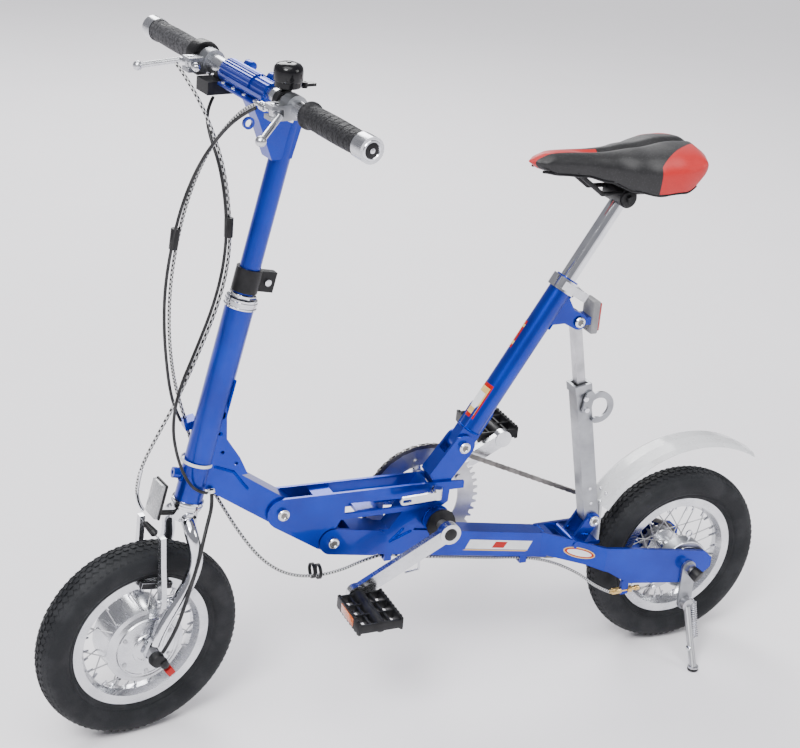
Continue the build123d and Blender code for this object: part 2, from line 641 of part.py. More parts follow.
def brake_arm():
    """One V-brake arm and its pad, for the right side, swinging about a boss that points forward."""
    x = FRONT_AXLE[0] + 12
    y, z = BRAKE_BOSS
    section = Plane(origin=(x, 0, AXLE_Z), x_dir=(0, 1, 0), z_dir=(1, 0, 0))
    outline = [
        (y - 7, z - 8), (y + 7, z - 8), (y + 8, z + 18), (y + 2, z + 60), (y - 2, z + 106), (y - 12, z + 106),
        (y - 9, z + 60), (y - 7, z + 18),
    ]
    arm = extrude(section * make_face(Polyline(*outline, close=True)), amount=8)
    face = RIM_WIDTH / 2 + 2
    arm += rod((x + 4, face + 8, AXLE_Z + z + 18), (x + 4, y, AXLE_Z + z + 18), 3.5)
    pad = Pos(x + 4, face + 4, AXLE_Z + z + 18) * Rot(0, 12, 0) * Box(50, 8, 10)
    arm -= rod((x - 2, y, AXLE_Z + z), (x + 20, y, AXLE_Z + z), 5 + RUN)
    return arm - pad, pad


def stem():
    """Handlebar post, its forward head and the lower half of the bar clamp."""
    bx, bz = BAR_CENTRE
    shape = tube(head(HEAD_LENGTH + 16), head(HEAD_LENGTH + 80), STEM_OD / 2, STEERER_DIA / 2 + SEAT)
    top = (bz - 50 - HEAD_FOOT[1]) / HEAD_UP.Z
    shape += rod(head(HEAD_LENGTH + 78), head(top), STEM_OD / 2)
    wedge = [
        (bx + 31, bz - 106), (bx + 62, bz - 106), (bx + 77, bz - 52), (bx + 70, bz - 30), (bx + 12, bz - 4),
        (bx - 12, bz - 10), (bx + 8, bz - 50),
    ]
    shape += plate(wedge, -14, 14)
    half = box(bx - 19, bx + 19, -60, 60, -20 + bz, bz - 0.3)
    shape += cross_rod((bx, bz), -60, 60, 18) & half
    return shape - cross_rod((bx, bz), -70, 70, BAR_DIA / 2 + SEAT)


def bar_clamp():
    """The ribbed upper half of the bar clamp."""
    bx, bz = BAR_CENTRE
    half = box(bx - 22, bx + 22, -60, 60, bz + 0.3, bz + 26)
    shape = cross_rod((bx, bz), -60, 60, 16)
    for i in range(7):
        shape += cross_rod((bx, bz), -58 + 18 * i, -50 + 18 * i, 19)
    return (shape & half) - cross_rod((bx, bz), -70, 70, BAR_DIA / 2 + SEAT)


def brake_lever(hand):
    """A brake lever's blade with its ball end."""
    pivot = bar_point(30, hand * 118, -4)
    tip = bar_point(80, hand * 176, -20)
    knee = bar_point(34, hand * 138, -4)
    shape = rod(pivot, knee, 4) + Pos(*knee) * Sphere(4) + rod(knee, tip, 4) + Pos(*tip) * Sphere(7)
    shape += rod(pivot - Vector(0, 0, 4.2), pivot + Vector(0, 0, 4.2), 7)
    return shape - rod(pivot - Vector(0, 0, 10), pivot + Vector(0, 0, 10), 3 + RUN)


def lever_bracket(hand):
    """The clamp on the bar that holds a brake lever."""
    pivot = bar_point(30, hand * 118, -4)
    low, high = sorted((hand * 104, hand * 122))
    shape = cross_rod(BAR_CENTRE, low, high, 16)
    x, z = BAR_CENTRE
    arm = box(x - 38, x - 8, *sorted((hand * 106, hand * 126)), z - 14, z + 6)
    arm -= box(x - 60, x - 21, *sorted((hand * 90, hand * 140)), z - 8.5, z + 0.5)
    shape += arm + rod(pivot - Vector(0, 0, 9), pivot + Vector(0, 0, 9), 3)
    return shape - cross_rod(BAR_CENTRE, -200, 200, BAR_DIA / 2 + SEAT)


def steering_parts():
    """Everything that turns with the handlebar except the front wheel."""
    keep("fork", fork())
    axle = cross_rod(FRONT_AXLE, -66, 66, AXLE_DIA / 2) + both(hexagon(FRONT_AXLE, 53 + SEAT, 62, 18))
    keep("front_axle", axle)
    for side, hand in (("left", -1), ("right", 1)):
        arm, pad = brake_arm()
        if hand < 0:
            arm, pad = mirror(arm, about=Plane.XZ), mirror(pad, about=Plane.XZ)
        keep(f"brake_arm_{side}", arm, pad)
        keep(f"brake_lever_{side}", brake_lever(hand))
        low, high = sorted((hand * BAR_HALF, hand * (BAR_HALF - GRIP_LENGTH)))
        keep(f"grip_{side}", cross_tube(BAR_CENTRE, low, high, GRIP_DIA / 2, BAR_DIA / 2 + RUN))
    keep("lever_brackets", lever_bracket(-1), lever_bracket(1))
    keep("stem", stem())
    band = head(HEAD_LENGTH + 24), head(HEAD_LENGTH + 58)
    strap = tube(*band, STEM_OD / 2 + 4, STEM_OD / 2 + SEAT)
    ears = rod(head(HEAD_LENGTH + 41, -16, -8), head(HEAD_LENGTH + 41, -16, 8), 3)
    lug = Plane(origin=head(HEAD_LENGTH + 41, -30), x_dir=HEAD_FORWARD, z_dir=HEAD_UP) * Box(26, 12, 30)
    keep("stem_strap", strap + lug + ears - rod(*band, STEM_OD / 2 + SEAT))
    keep("bar_clamp", bar_clamp())
    cap = cross_rod(
        BAR_CENTRE, BAR_HALF + SEAT, BAR_HALF + 22, 17,
    ) - cross_rod(BAR_CENTRE, BAR_HALF + 14, BAR_HALF + 30, 11)
    keep(
        "handlebar", cross_rod(BAR_CENTRE, -BAR_HALF, BAR_HALF, BAR_DIA / 2), cap,
        mirror(cap, about=Plane.XZ),
    )
    bell_foot = bar_point(-4, -88, 16)
    dome = Pos(*bar_point(-4, -88, 20)) * (Sphere(20) & Pos(0, 0, 15) * Box(60, 60, 30))
    mount = cross_tube(
        BAR_CENTRE, -96, -80, 16, BAR_DIA / 2 + SEAT,
    ) + rod(bell_foot, bar_point(-4, -88, 20 - SEAT), 10)
    mount += Pos(*bar_point(-17, -88, 13)) * Box(34, 12, 4) + rod(
        bar_point(-29, -88, 13), bar_point(-29, -88, 24), 2,
    )
    keep("bell", mount - cross_rod(BAR_CENTRE, -99, -78, BAR_DIA / 2 + SEAT), dome)
    low, high = bar_point(-29, -88, 15 + SIDE), bar_point(-29, -88, 23)
    thumb = rod(low, high, 4) + Pos(*bar_point(-36, -88, 19.5)) * Box(16, 9, 4)
    keep("bell_lever", thumb - rod(bar_point(-29, -88, 10), bar_point(-29, -88, 30), 2 + RUN))
    housing = cross_tube(BAR_CENTRE, 129, 152, 20, BAR_DIA / 2 + SEAT)
    control = Pos(*bar_point(8, 84, -26)) * Box(40, 34, 18)
    neck = Pos(*bar_point(0, 84, -14)) * Box(14, 16, 10) - cross_rod(BAR_CENTRE, 60, 110, BAR_DIA / 2 + SEAT)
    keep("throttle_housing", housing, control + neck)
    lens = Pos(*head(2, 54)) * Box(10, 40, 60)
    shoe = rod(head(-24, 21), head(-24, 50), 4) + Pos(*head(-4, 47)) * Box(6, 34, 50)
    keep("front_reflector", lens, shoe - lens)


# ---- seat ----
def seat_point(distance, back=0.0, y=0.0):
    """A point up the seat tube's axis and behind it."""
    turn = math.radians(SEAT_TUBE_ANGLE)
    x = SEAT_PIVOT[0] + distance * math.cos(turn) + back * math.sin(turn)
    z = SEAT_PIVOT[1] + distance * math.sin(turn) - back * math.cos(turn)
    return at((x, z), y)


def flat_seat_point(distance, back=0.0):
    """The same point in the side view."""
    point = seat_point(distance, back)
    return (point.X, point.Z - AXLE_Z)


def seat_parts():
    """Seat tube, clamp, post and saddle."""
    bore = SEAT_POST_DIA / 2 + RUN
    body = rod(seat_point(26), seat_point(SEAT_TUBE_LENGTH), SEAT_TUBE_OD / 2)
    body += bar(SEAT_PIVOT, flat_seat_point(60), 34, -EAR_IN + SIDE, EAR_IN - SIDE)
    ear_y = STAY_TUBE_INNER / 2 + SIDE + 1
    ear = plate([flat_seat_point(222), flat_seat_point(288), STAY_TOP], ear_y, ear_y + PLATE)
    ear += bar(flat_seat_point(255, 20), STAY_TOP, 26, ear_y, ear_y + PLATE)
    body += both(ear)
    body += box(
        STAY_TOP[0] + 12, STAY_TOP[0] + REFLECTOR_BACK, -ear_y - PLATE, ear_y + PLATE, STAY_TOP[1] - 6,
        STAY_TOP[1] + 6,
    )
    body -= rod(seat_point(120), seat_point(SEAT_TUBE_LENGTH + 1), bore)
    body -= cross_rod(SEAT_PIVOT, -60, 60, PIVOT_DIA / 2 + RUN)
    body -= cross_rod(STAY_TOP, -60, 60, 5 + SEAT)
    keep("seat_tube", body, cross_rod(STAY_TOP, -ear_y - PLATE - 4, ear_y + PLATE + 4, 5))
    ring = tube(
        seat_point(SEAT_TUBE_LENGTH - 22), seat_point(SEAT_TUBE_LENGTH - 2), SEAT_TUBE_OD / 2 + 5,
        SEAT_TUBE_OD / 2 + SEAT,
    )
    middle = SEAT_TUBE_LENGTH - 12
    ears = rod(seat_point(middle, 28, -10), seat_point(middle, 28, 10), 8)
    ears += rod(seat_point(middle, 18, -6), seat_point(middle, 18, 6), 6)
    ring = ring + ears - rod(seat_point(200), seat_point(SEAT_TUBE_LENGTH + 1), SEAT_TUBE_OD / 2 + SEAT)
    keep("seat_clamp", ring, rod(seat_point(middle, 28, -10 - SEAT), seat_point(middle, 28, -14), 3))
    lever = rod(seat_point(middle - 7, 28, -21), seat_point(middle + 7, 28, -21), 7)
    blade = Plane(
        origin=seat_point(middle, 4, -26), x_dir=seat_point(0, 1) - seat_point(0, 0), z_dir=(0, 1, 0),
    ) * Box(46, 13, 4)
    keep("seat_lever", lever + blade)
    keep("seat_post", rod(seat_point(190), seat_point(SEAT_POST_TOP), SEAT_POST_DIA / 2))
    saddle_parts()


def saddle_parts():
    """The saddle's rails with their clamp, and its cushion."""
    top = flat_seat_point(SEAT_POST_TOP)
    cx, cz = top[0] - 6, top[1] + 12
    clamp = cross_rod((cx + 4, cz - 4), -26, 26, 15) - rod(
        seat_point(200), seat_point(SEAT_POST_TOP + 40), SEAT_POST_DIA / 2 + SEAT,
    )
    rails = None
    for hand in (-1, 1):
        y = hand * 22
        route = Polyline(
            at((cx - 88, cz + 40), y), at((cx - 40, cz + 4), y), at((cx + 40, cz + 4), y),
            at((cx + 66, cz + 34), y * 1.5),
        )
        rail = sweep(
            Plane(origin=route @ 0, z_dir=route % 0) * Circle(3.5), path=route, transition=Transition.ROUND,
        )
        rails = rail if rails is None else rails + rail
    keep("saddle_rails", clamp + rails)
    outline = [
        (cx - 160, 0), (cx - 150, 18), (cx - 60, 26), (cx + 10, 55), (cx + 60, 78), (cx + 105, 76),
        (cx + 128, 40),
        (cx + 118, 0),
    ]
    half = Spline(*outline[:-1], tangents=[(0, 1), (0.2, -1)])
    closing = Line(outline[-2], (outline[-2][0], 0))
    plan = make_face([half, closing, Line((outline[-2][0], 0), outline[0])])
    plan = plan + mirror(plan, about=Plane.XZ)
    body = Pos(0, 0, AXLE_Z + cz + 34 - SADDLE_SKIRT) * extrude(plan, amount=46 + SADDLE_SKIRT)
    side = plate([
        (cx - 170, cz + 40), (cx - 90, cz + 32), (cx - 50, cz + 28), (cx - 10, cz + 42 - SADDLE_SKIRT),
        (cx + 30, cz + 34 - SADDLE_SKIRT), (cx + 70, cz + 44 - SADDLE_SKIRT), (cx + 112, cz + 38),
        (cx + 135, cz + 58), (cx + 132, cz + 76), (cx + 60, cz + 80), (cx - 60, cz + 66), (cx - 150, cz + 66),
        (cx - 170, cz + 56),
    ], -120, 120)
    side -= box(cx - 180, cx + 140, -42, 42, cz + 33 - SADDLE_SKIRT, cz + 34)
    groove = None
    for hand in (-1, 1):
        cut = rod(at((cx - 92, cz + 43), hand * 22), at((cx - 80, cz + 34), hand * 22), 4)
        groove = cut if groove is None else groove + cut
    keep("saddle", (body & side) - groove - rails)


# ---- folding stay behind the seat tube ----
def stay_parts():
    """The telescopic stay, its latch and the rear reflector."""
    half = STAY_TUBE / 2
    direction = (at(STAY_TOP) - at(STAY_FOOT)).normalized()
    frame = Plane(origin=at(STAY_FOOT), x_dir=(0, 1, 0), z_dir=direction)
    bottom = (Align.CENTER, Align.CENTER, Align.MIN)
    outer = frame * Box(
        STAY_TUBE, STAY_TUBE, STAY_TUBE_LENGTH, align=bottom,
    ) + cross_rod(STAY_FOOT, -half, half, 12)
    hollow = STAY_TUBE - 5
    outer -= frame.offset(16) * Box(hollow, hollow, STAY_TUBE_LENGTH, align=bottom)
    outer += frame.offset(STAY_TUBE_LENGTH - 14) * (
        Box(STAY_TUBE + 4, STAY_TUBE + 4, 14, align=bottom) - Box(hollow, hollow, 40)
    )
    outer -= cross_rod(STAY_FOOT, -60, 60, PIVOT_DIA / 2 + RUN)
    length = math.dist(STAY_TOP, STAY_FOOT)
    start = length - STAY_TUBE_LENGTH + 22
    inner = frame.offset(start) * Box(STAY_TUBE_INNER, STAY_TUBE_INNER, length - start, align=bottom)
    inner += cross_rod(STAY_TOP, -STAY_TUBE_INNER / 2, STAY_TUBE_INNER / 2, 10.5)
    keep("stay_inner", inner - cross_rod(STAY_TOP, -60, 60, 5 + RUN))
    pin = along(STAY_FOOT, STAY_TOP, STAY_TUBE_LENGTH - 42)
    y0 = -half - 2 - SIDE
    hook = bar(pin, (pin[0] + 4, pin[1] + 24), 16, y0 - 4, y0)
    hook += arc_slot((pin[0] + 22, pin[1] + 2), 22, 10, -100, 230, y0 - 4, y0)
    keep("stay_latch", hook - cross_rod(pin, -60, 0, 3 + RUN))
    keep("stay_outer", outer + cross_rod(pin, y0 - 6, -half + 1, 3))
    x, z = STAY_TOP
    face = x + REFLECTOR_BACK
    housing = box(face + SEAT, face + 12, -17, 17, z - 22, z + 32)
    keep("rear_reflector", housing, box(face + 12 + SEAT, face + 17, -14, 14, z - 18, z + 28))


# ---- cables held by the frame ----
FRONT_BRAKE_ROUTE = [
    (-868, 96, 993), (-860, 72, 979), (-838, 42, 932), (-820, 20, 870), (-811, 12, 800), (-811, 9, 738),
    (-826, 2, 678),
    (-853, -4, 612), (-882, -8, 547), (-909, 0, 487), (-929, 10, 436), (-937, 11, 400), (-931, 22, 369),
    (-922, 27, 353),
]
REAR_BRAKE_BARS_ROUTE = [
    (-815, -98, 986), (-822, -70, 975), (-839, -38, 940), (-857, -10, 893), (-874, 3, 835), (-887, 7, 772),
    (-895, 7, 708),
    (-896, 6, 648), (-890, 10, 592), (-878, 20, 540), (-862, 30, 494),
]
REAR_BRAKE_FOLD_ROUTE = [
    (-858, 31, 480), (-849, 31, 445), (-832, 27, 400), (-806, 15, 352), (-778, 3, 303), (-745, -2, 258),
    (-705, -3, 227),
    (-660, -5, 217), (-615, -8, 223), (-580, -9, 236), (-550, -9, 241),
]
REAR_BRAKE_BEAM_ROUTE = [
    (-532, -9, 238.5), (-475, -9, 226), (-418, -9, 217), (-362, -9, 206.5), (-298, -9, 198.3),
    (-245, -13, 185), (-200, -32, 166),
    (-170, -48, 142), (-148, -53, 133.2),
]
CABLES = {
    "front_brake_cable": FRONT_BRAKE_ROUTE,
    "rear_brake_cable_bars": REAR_BRAKE_BARS_ROUTE,
    "rear_brake_cable_fold": REAR_BRAKE_FOLD_ROUTE,
    "rear_brake_cable_beam": REAR_BRAKE_BEAM_ROUTE,
}


def corner_radii(points):
    """The largest arc at each corner of a route, from the shorter run beside it and the turn."""
    radii = []
    for before, corner, after in zip(points, points[1:], points[2:]):
        first = Vector(*corner) - Vector(*before)
        second = Vector(*after) - Vector(*corner)
        turn = math.radians(first.get_angle(second))
        radii.append(0.45 * min(first.length, second.length) / math.tan(turn / 2))
    return radii


def cable_parts():
    """Brake cables, each along its own route of hand-set points."""
    for name, points in CABLES.items():
        radii = corner_radii(points)
        shape = cable(points, radii)
        keep(name, shape)
        length = shape.volume / (math.pi * CABLE_DIA ** 2 / 4)
        print(name, "length", round(length), "radii", [round(r) for r in radii])


FIXED_FRONT = ("front_frame", "front_frame_bolts")
STEERED = (
    "fork", "brake_arm_left", "brake_arm_right", "brake_lever_left", "brake_lever_right", "grip_left",
    "grip_right",
    "lever_brackets", "stem", "stem_strap", "bar_clamp", "handlebar", "bell", "bell_lever",
    "throttle_housing",
)


def build():
    """Make every part, turn the steering to its rest angle and set the origin."""
    wheel_parts()
    drive_parts()
    rear_parts()
    front_parts()
    steering_parts()
    seat_parts()
    stay_parts()
    steering = [
        name for name in PARTS if name in STEERED or name.startswith("front_") and name not in FIXED_FRONT
    ]
    axis = Axis(HEAD_BASE, HEAD_UP)
    for name in steering:
        PARTS[name] = tuple(shape.rotate(axis, STEER_REST) for shape in PARTS[name])
    cable_parts()


def write():
    """Move the origin to the middle of the ground under the bicycle and write each part."""
    build()
    os.makedirs("parts", exist_ok=True)
    solid_parts = [Compound(children=list(shapes)) for name, shapes in PARTS.items() if name not in CABLES]
    whole = Compound(children=solid_parts).bounding_box()
    shift = Pos(-whole.center().X, -whole.center().Y, -whole.min.Z)
    for name, shapes in PARTS.items():
        solids = [solid for shape in shapes for solid in shape.solids()]
        export_step(shift * Compound(children=solids), f"parts/{name}.step")
    print("origin shift", [round(v, 3) for v in shift.position])


if __name__ == "__main__":
    write()
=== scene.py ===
import logging
import math
from dataclasses import dataclass, field
from enum import Enum

import bmesh
import bpy
from mathutils import Matrix, Vector


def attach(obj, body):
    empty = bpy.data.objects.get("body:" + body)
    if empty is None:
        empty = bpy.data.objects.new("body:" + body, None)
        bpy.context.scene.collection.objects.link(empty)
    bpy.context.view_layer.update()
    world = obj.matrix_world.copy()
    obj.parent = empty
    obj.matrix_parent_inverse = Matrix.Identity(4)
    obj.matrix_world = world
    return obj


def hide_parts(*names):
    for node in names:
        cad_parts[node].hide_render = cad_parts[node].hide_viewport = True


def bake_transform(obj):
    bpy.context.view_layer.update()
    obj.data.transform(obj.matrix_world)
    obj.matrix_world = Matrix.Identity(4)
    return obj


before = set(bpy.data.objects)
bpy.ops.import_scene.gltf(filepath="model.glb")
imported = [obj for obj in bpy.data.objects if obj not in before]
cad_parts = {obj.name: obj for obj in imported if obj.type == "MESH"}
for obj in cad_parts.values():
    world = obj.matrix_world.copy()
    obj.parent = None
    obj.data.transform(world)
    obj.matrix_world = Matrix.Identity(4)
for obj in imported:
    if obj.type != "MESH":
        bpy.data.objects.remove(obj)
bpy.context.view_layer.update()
LOG = logging.getLogger("folding_bicycle")

# The model is drawn in millimetres with the rear axle over x = 0 and the ground at z = 0,
# then moved by ORIGIN and scaled to metres.
ORIGIN = Vector((467.279, 12.73, 0.399))
AXLE_Z = 159.0
WHEELBASE = 935.0
HEAD_TILT = math.radians(12.7)
STEER_REST = math.radians(10.0)
HEAD_UP = Vector((math.sin(HEAD_TILT), 0.0, math.cos(HEAD_TILT)))
HEAD_FORWARD = Vector((-HEAD_UP.z, 0.0, HEAD_UP.x))
HEAD_BASE = Vector((-862.0, 0.0, AXLE_Z + 220.0))
FRONT_AXLE = Vector((-WHEELBASE, 0.0, AXLE_Z))
REAR_AXLE = Vector((0.0, 0.0, AXLE_Z))
BAR = Vector((-799.0, 0.0, AXLE_Z + 833.0))
SEAT_ANGLE = math.radians(59.0)
SEAT_PIVOT = Vector((-428.0, 0.0, AXLE_Z + 257.0))
X = Vector((1.0, 0.0, 0.0))
Y = Vector((0.0, 1.0, 0.0))
Z = Vector((0.0, 0.0, 1.0))


def at(x: float, z: float, y: float = 0.0) -> Vector:
    """Return a side-view point, with its height given above the wheel axles."""
    return Vector((x, y, AXLE_Z + z))


def head(distance: float, forward: float = 0.0, y: float = 0.0) -> Vector:
    """Return a point up the steering axis and forward of it."""
    return HEAD_BASE + HEAD_UP * distance + HEAD_FORWARD * forward + Y * y


def bar_point(forward: float, y: float, up: float) -> Vector:
    """Return a point set out from the handlebar's middle."""
    return Vector((BAR.x - forward, y, BAR.z + up))


def seat_point(distance: float, back: float = 0.0, y: float = 0.0) -> Vector:
    """Return a point up the seat tube's axis and behind it."""
    up = Vector((math.cos(SEAT_ANGLE), 0.0, math.sin(SEAT_ANGLE)))
    rear = Vector((up.z, 0.0, -up.x))
    return SEAT_PIVOT + up * distance + rear * back + Y * y


def metres(point: Vector) -> Vector:
    """Return a drawn point in the frame's metres."""
    return (point + ORIGIN) * 0.001


def steer_turn() -> Matrix:
    """Return the turn of the handlebar from straight ahead to its rest angle."""
    turn = Matrix.Rotation(STEER_REST, 4, HEAD_UP)
    return Matrix.Translation(HEAD_BASE) @ turn @ Matrix.Translation(-HEAD_BASE)


class Slot(Enum):
    """The record's material slots."""

    BLUE = "frame_blue"
    POLISHED = "polished"
    CHROME = "chrome"
    STEEL = "steel"
    TYRE = "tyre"
    PLASTIC = "black_plastic"
    GLOSS = "black_gloss"
    GRIP = "grip"
    SADDLE = "saddle_cover"
    RED = "red_lens"
    CLEAR = "clear_lens"
    GUARD = "guard"
    CABLE = "cable_black"


# ---- finishes ----
class Graph:
    """A material's node graph, with short calls for the nodes that the finishes use."""

    def __init__(self, name: str) -> None:
        """Start an empty material with one Principled shader.

        Args:
            name: The material's name.
        """
        self.material = bpy.data.materials.new(name)
        self.material.use_nodes = True
        self.tree = self.material.node_tree
        self.shader = self.tree.nodes["Principled BSDF"]
        self.coords = self.tree.nodes.new("ShaderNodeTexCoord")

    def set(self, **values: object) -> None:
        """Set the shader's own sockets; an underscore stands for a space."""
        for name, value in values.items():
            self.shader.inputs[name.replace("_", " ")].default_value = value

    def link(self, source: bpy.types.NodeSocket, target: bpy.types.NodeSocket) -> None:
        """Join two sockets."""
        self.tree.links.new(source, target)

    def math(self, operation: str, a: object, b: object = 0.0) -> bpy.types.NodeSocket:
        """Add a Math node.

        Args:
            operation: The node's operation.
            a: A socket or a number.
            b: A socket or a number.

        Returns:
            The node's output socket.
        """
        node = self.tree.nodes.new("ShaderNodeMath")
        node.operation = operation
        for socket, value in zip(node.inputs, (a, b)):
            if isinstance(value, bpy.types.NodeSocket):
                self.link(value, socket)
            else:
                socket.default_value = value
        return node.outputs[0]

    def mapped(self, scale: tuple[float, float, float], output: str = "Object") -> bpy.types.NodeSocket:
        """Put the coordinates through a Mapping node.

        Args:
            scale: How many times finer the pattern is along each axis.
            output: Which coordinates to read.

        Returns:
            The Mapping node's output socket.
        """
        node = self.tree.nodes.new("ShaderNodeMapping")
        node.inputs["Scale"].default_value = scale
        self.link(self.coords.outputs[output], node.inputs["Vector"])
        return node.outputs[0]

    def noise(
        self, scale: float, detail: float = 3.0, vector: bpy.types.NodeSocket | None = None,
    ) -> bpy.types.NodeSocket:
        """Add a noise texture.

        Args:
            scale: How many waves there are in a metre.
            detail: How many finer layers it has.
            vector: Coordinates to read in place of the object's own.

        Returns:
            The texture's Fac socket.
        """
        node = self.tree.nodes.new("ShaderNodeTexNoise")
        node.inputs["Scale"].default_value = scale
        node.inputs["Detail"].default_value = detail
        self.link(vector or self.coords.outputs["Object"], node.inputs["Vector"])
        return node.outputs["Fac"]

    def cells(self, scale: float, vector: bpy.types.NodeSocket | None = None) -> bpy.types.NodeSocket:
        """Add a Voronoi texture.

        Args:
            scale: How many cells there are in a metre.
            vector: Coordinates to read in place of the object's own.

        Returns:
            The texture's Distance socket.
        """
        node = self.tree.nodes.new("ShaderNodeTexVoronoi")
        node.inputs["Scale"].default_value = scale
        self.link(vector or self.coords.outputs["Object"], node.inputs["Vector"])
        return node.outputs["Distance"]

    def spread(
        self, value: bpy.types.NodeSocket, low: float, high: float, start: float = 0.3, end: float = 0.7,
    ) -> bpy.types.NodeSocket:
        """Map a value from one span to another.

        Args:
            value: The socket to map.
            low: The result at the start.
            high: The result at the end.
            start: The value that gives low.
            end: The value that gives high.

        Returns:
            The mapped socket.
        """
        node = self.tree.nodes.new("ShaderNodeMapRange")
        for name, number in (("From Min", start), ("From Max", end), ("To Min", low), ("To Max", high)):
            node.inputs[name].default_value = number
        self.link(value, node.inputs["Value"])
        return node.outputs["Result"]

    def mix(self, factor: bpy.types.NodeSocket, a: object, b: object) -> bpy.types.NodeSocket:
        """Mix two colours.

        Args:
            factor: The share of the second colour.
            a: A socket or an RGB triple.
            b: A socket or an RGB triple.

        Returns:
            The mixed colour's socket.
        """
        node = self.tree.nodes.new("ShaderNodeMix")
        node.data_type = "RGBA"
        self.link(factor, node.inputs["Factor"])
        for socket, value in ((node.inputs[6], a), (node.inputs[7], b)):
            if isinstance(value, bpy.types.NodeSocket):
                self.link(value, socket)
            else:
                socket.default_value = (*value, 1.0)
        return node.outputs[2]

    def bump(self, height: bpy.types.NodeSocket, distance: float, strength: float = 1.0) -> None:
        """Give the shader a bump.

        Args:
            height: The height's socket.
            distance: The depth in metres.
            strength: The share of the bump that shows.
        """
        node = self.tree.nodes.new("ShaderNodeBump")
        node.inputs["Distance"].default_value = distance
        node.inputs["Strength"].default_value = strength
        self.link(height, node.inputs["Height"])
        self.link(node.outputs["Normal"], self.shader.inputs["Normal"])

    def colour(self, socket: bpy.types.NodeSocket) -> None:
        """Drive the base colour."""
        self.link(socket, self.shader.inputs["Base Color"])

    def rough(self, socket: bpy.types.NodeSocket) -> None:
        """Drive the roughness."""
        self.link(socket, self.shader.inputs["Roughness"])


@dataclass(frozen=True)
class Metal:
    """A bare metal: tone drift, a directional grain, light scratches and handling marks."""

    name: str
    tone: tuple[float, float, float]
    dull: tuple[float, float, float]
    smooth: float
    coarse: float
    grain: tuple[float, float, float] = (60.0, 60.0, 900.0)
    depth: float = 0.00003

    def material(self) -> bpy.types.Material:
        """Build the material.

        Returns:
            The finished material.
        """
        g = Graph(self.name)
        g.set(Metallic=1.0)
        blotch = g.noise(35.0, 4.0)
        g.colour(g.mix(g.spread(blotch, 0.0, 1.0), self.tone, self.dull))
        lines = g.noise(1.0, 5.0, g.mapped(self.grain))
        both = g.math("ADD", g.math("MULTIPLY", blotch, 0.5), g.math("MULTIPLY", lines, 0.5))
        g.rough(g.spread(both, self.smooth, self.coarse, 0.35, 0.65))
        g.bump(lines, self.depth, 0.35)
        return g.material


@dataclass(frozen=True)
class Paint:
    """A metallic lacquer: fine flake under a clear coat, with slight orange peel."""

    name: str
    tone: tuple[float, float, float]
    deep: tuple[float, float, float]
    metallic: float = 0.75
    smooth: float = 0.22

    def material(self) -> bpy.types.Material:
        """Build the material.

        Returns:
            The finished material.
        """
        g = Graph(self.name)
        g.set(Metallic=self.metallic, Coat_Weight=0.4, Coat_Roughness=0.06)
        flake = g.cells(2600.0)
        cloud = g.noise(14.0, 3.0)
        body = g.mix(g.spread(cloud, 0.0, 1.0), self.tone, self.deep)
        light = tuple(min(1.0, c * 1.6) for c in self.tone)
        g.colour(g.mix(g.spread(flake, 0.5, 0.0, 0.05, 0.45), body, light))
        g.rough(g.spread(flake, self.smooth, self.smooth + 0.16, 0.1, 0.6))
        g.bump(g.noise(420.0, 2.0), 0.00004, 0.25)
        return g.material


@dataclass(frozen=True)
class Moulded:
    """A moulded plastic or rubber: fine spark texture, dust in the hollows and a tone drift."""

    name: str
    tone: tuple[float, float, float]
    worn: tuple[float, float, float]
    smooth: float = 0.42
    coarse: float = 0.62
    pores: float = 1500.0
    depth: float = 0.00012
    strength: float = 0.5

    def material(self) -> bpy.types.Material:
        """Build the material.

        Returns:
            The finished material.
        """
        g = Graph(self.name)
        g.set(Specular_IOR_Level=0.3)
        dust = g.noise(60.0, 5.0)
        g.colour(g.mix(g.spread(dust, 0.0, 1.0, 0.42, 0.75), self.tone, self.worn))
        spark = g.noise(self.pores, 2.0)
        g.rough(
            g.spread(
                g.math("ADD", g.math("MULTIPLY", spark, 0.4), g.math("MULTIPLY", dust, 0.6)), self.smooth,
                self.coarse,
            ),
        )
        g.bump(spark, self.depth, self.strength)
        return g.material


@dataclass(frozen=True)
class Lens:
    """A reflector lens with a grid of small prisms behind a clear face; the prisms' middles are painted
    lighter as painted glints.
    """

    name: str
    tone: tuple[float, float, float]
    prism_glint: tuple[float, float, float]
    clear: float
    prism: float = 330.0

    def material(self) -> bpy.types.Material:
        """Build the material.

        Returns:
            The finished material.
        """
        g = Graph(self.name)
        g.set(Transmission_Weight=self.clear, IOR=1.49, Coat_Weight=1.0, Coat_Roughness=0.03)
        prisms = g.cells(self.prism)
        # The prisms' middles turn towards the glint colour: a painted highlight on each prism.
        g.colour(g.mix(g.spread(prisms, 1.0, 0.0, 0.0, 0.6), self.tone, self.prism_glint))
        g.rough(g.spread(g.noise(90.0), 0.08, 0.2))
        g.bump(prisms, 0.0006, 0.8)
        return g.material


@dataclass(frozen=True)
class Hatch:
    """A grip rubber with raised diamonds from two crossed sets of lines."""

    name: str
    tone: tuple[float, float, float]
    pitch: float
    depth: float

    def material(self) -> bpy.types.Material:
        """Build the material.

        Returns:
            The finished material.
        """
        g = Graph(self.name)
        g.set(Specular_IOR_Level=0.3)
        grid = g.cells(self.pitch)
        dust = g.noise(80.0, 4.0)
        raised = tuple(min(1.0, c * 2.6 + 0.01) for c in self.tone)
        g.colour(
            g.mix(
                g.spread(g.math("ADD", grid, g.math("MULTIPLY", dust, 0.25)), 0.0, 1.0, 0.3, 0.9), self.tone,
                raised,
            ),
        )
        g.rough(g.spread(dust, 0.5, 0.72))
        g.bump(grid, self.depth, 0.9)
        return g.material


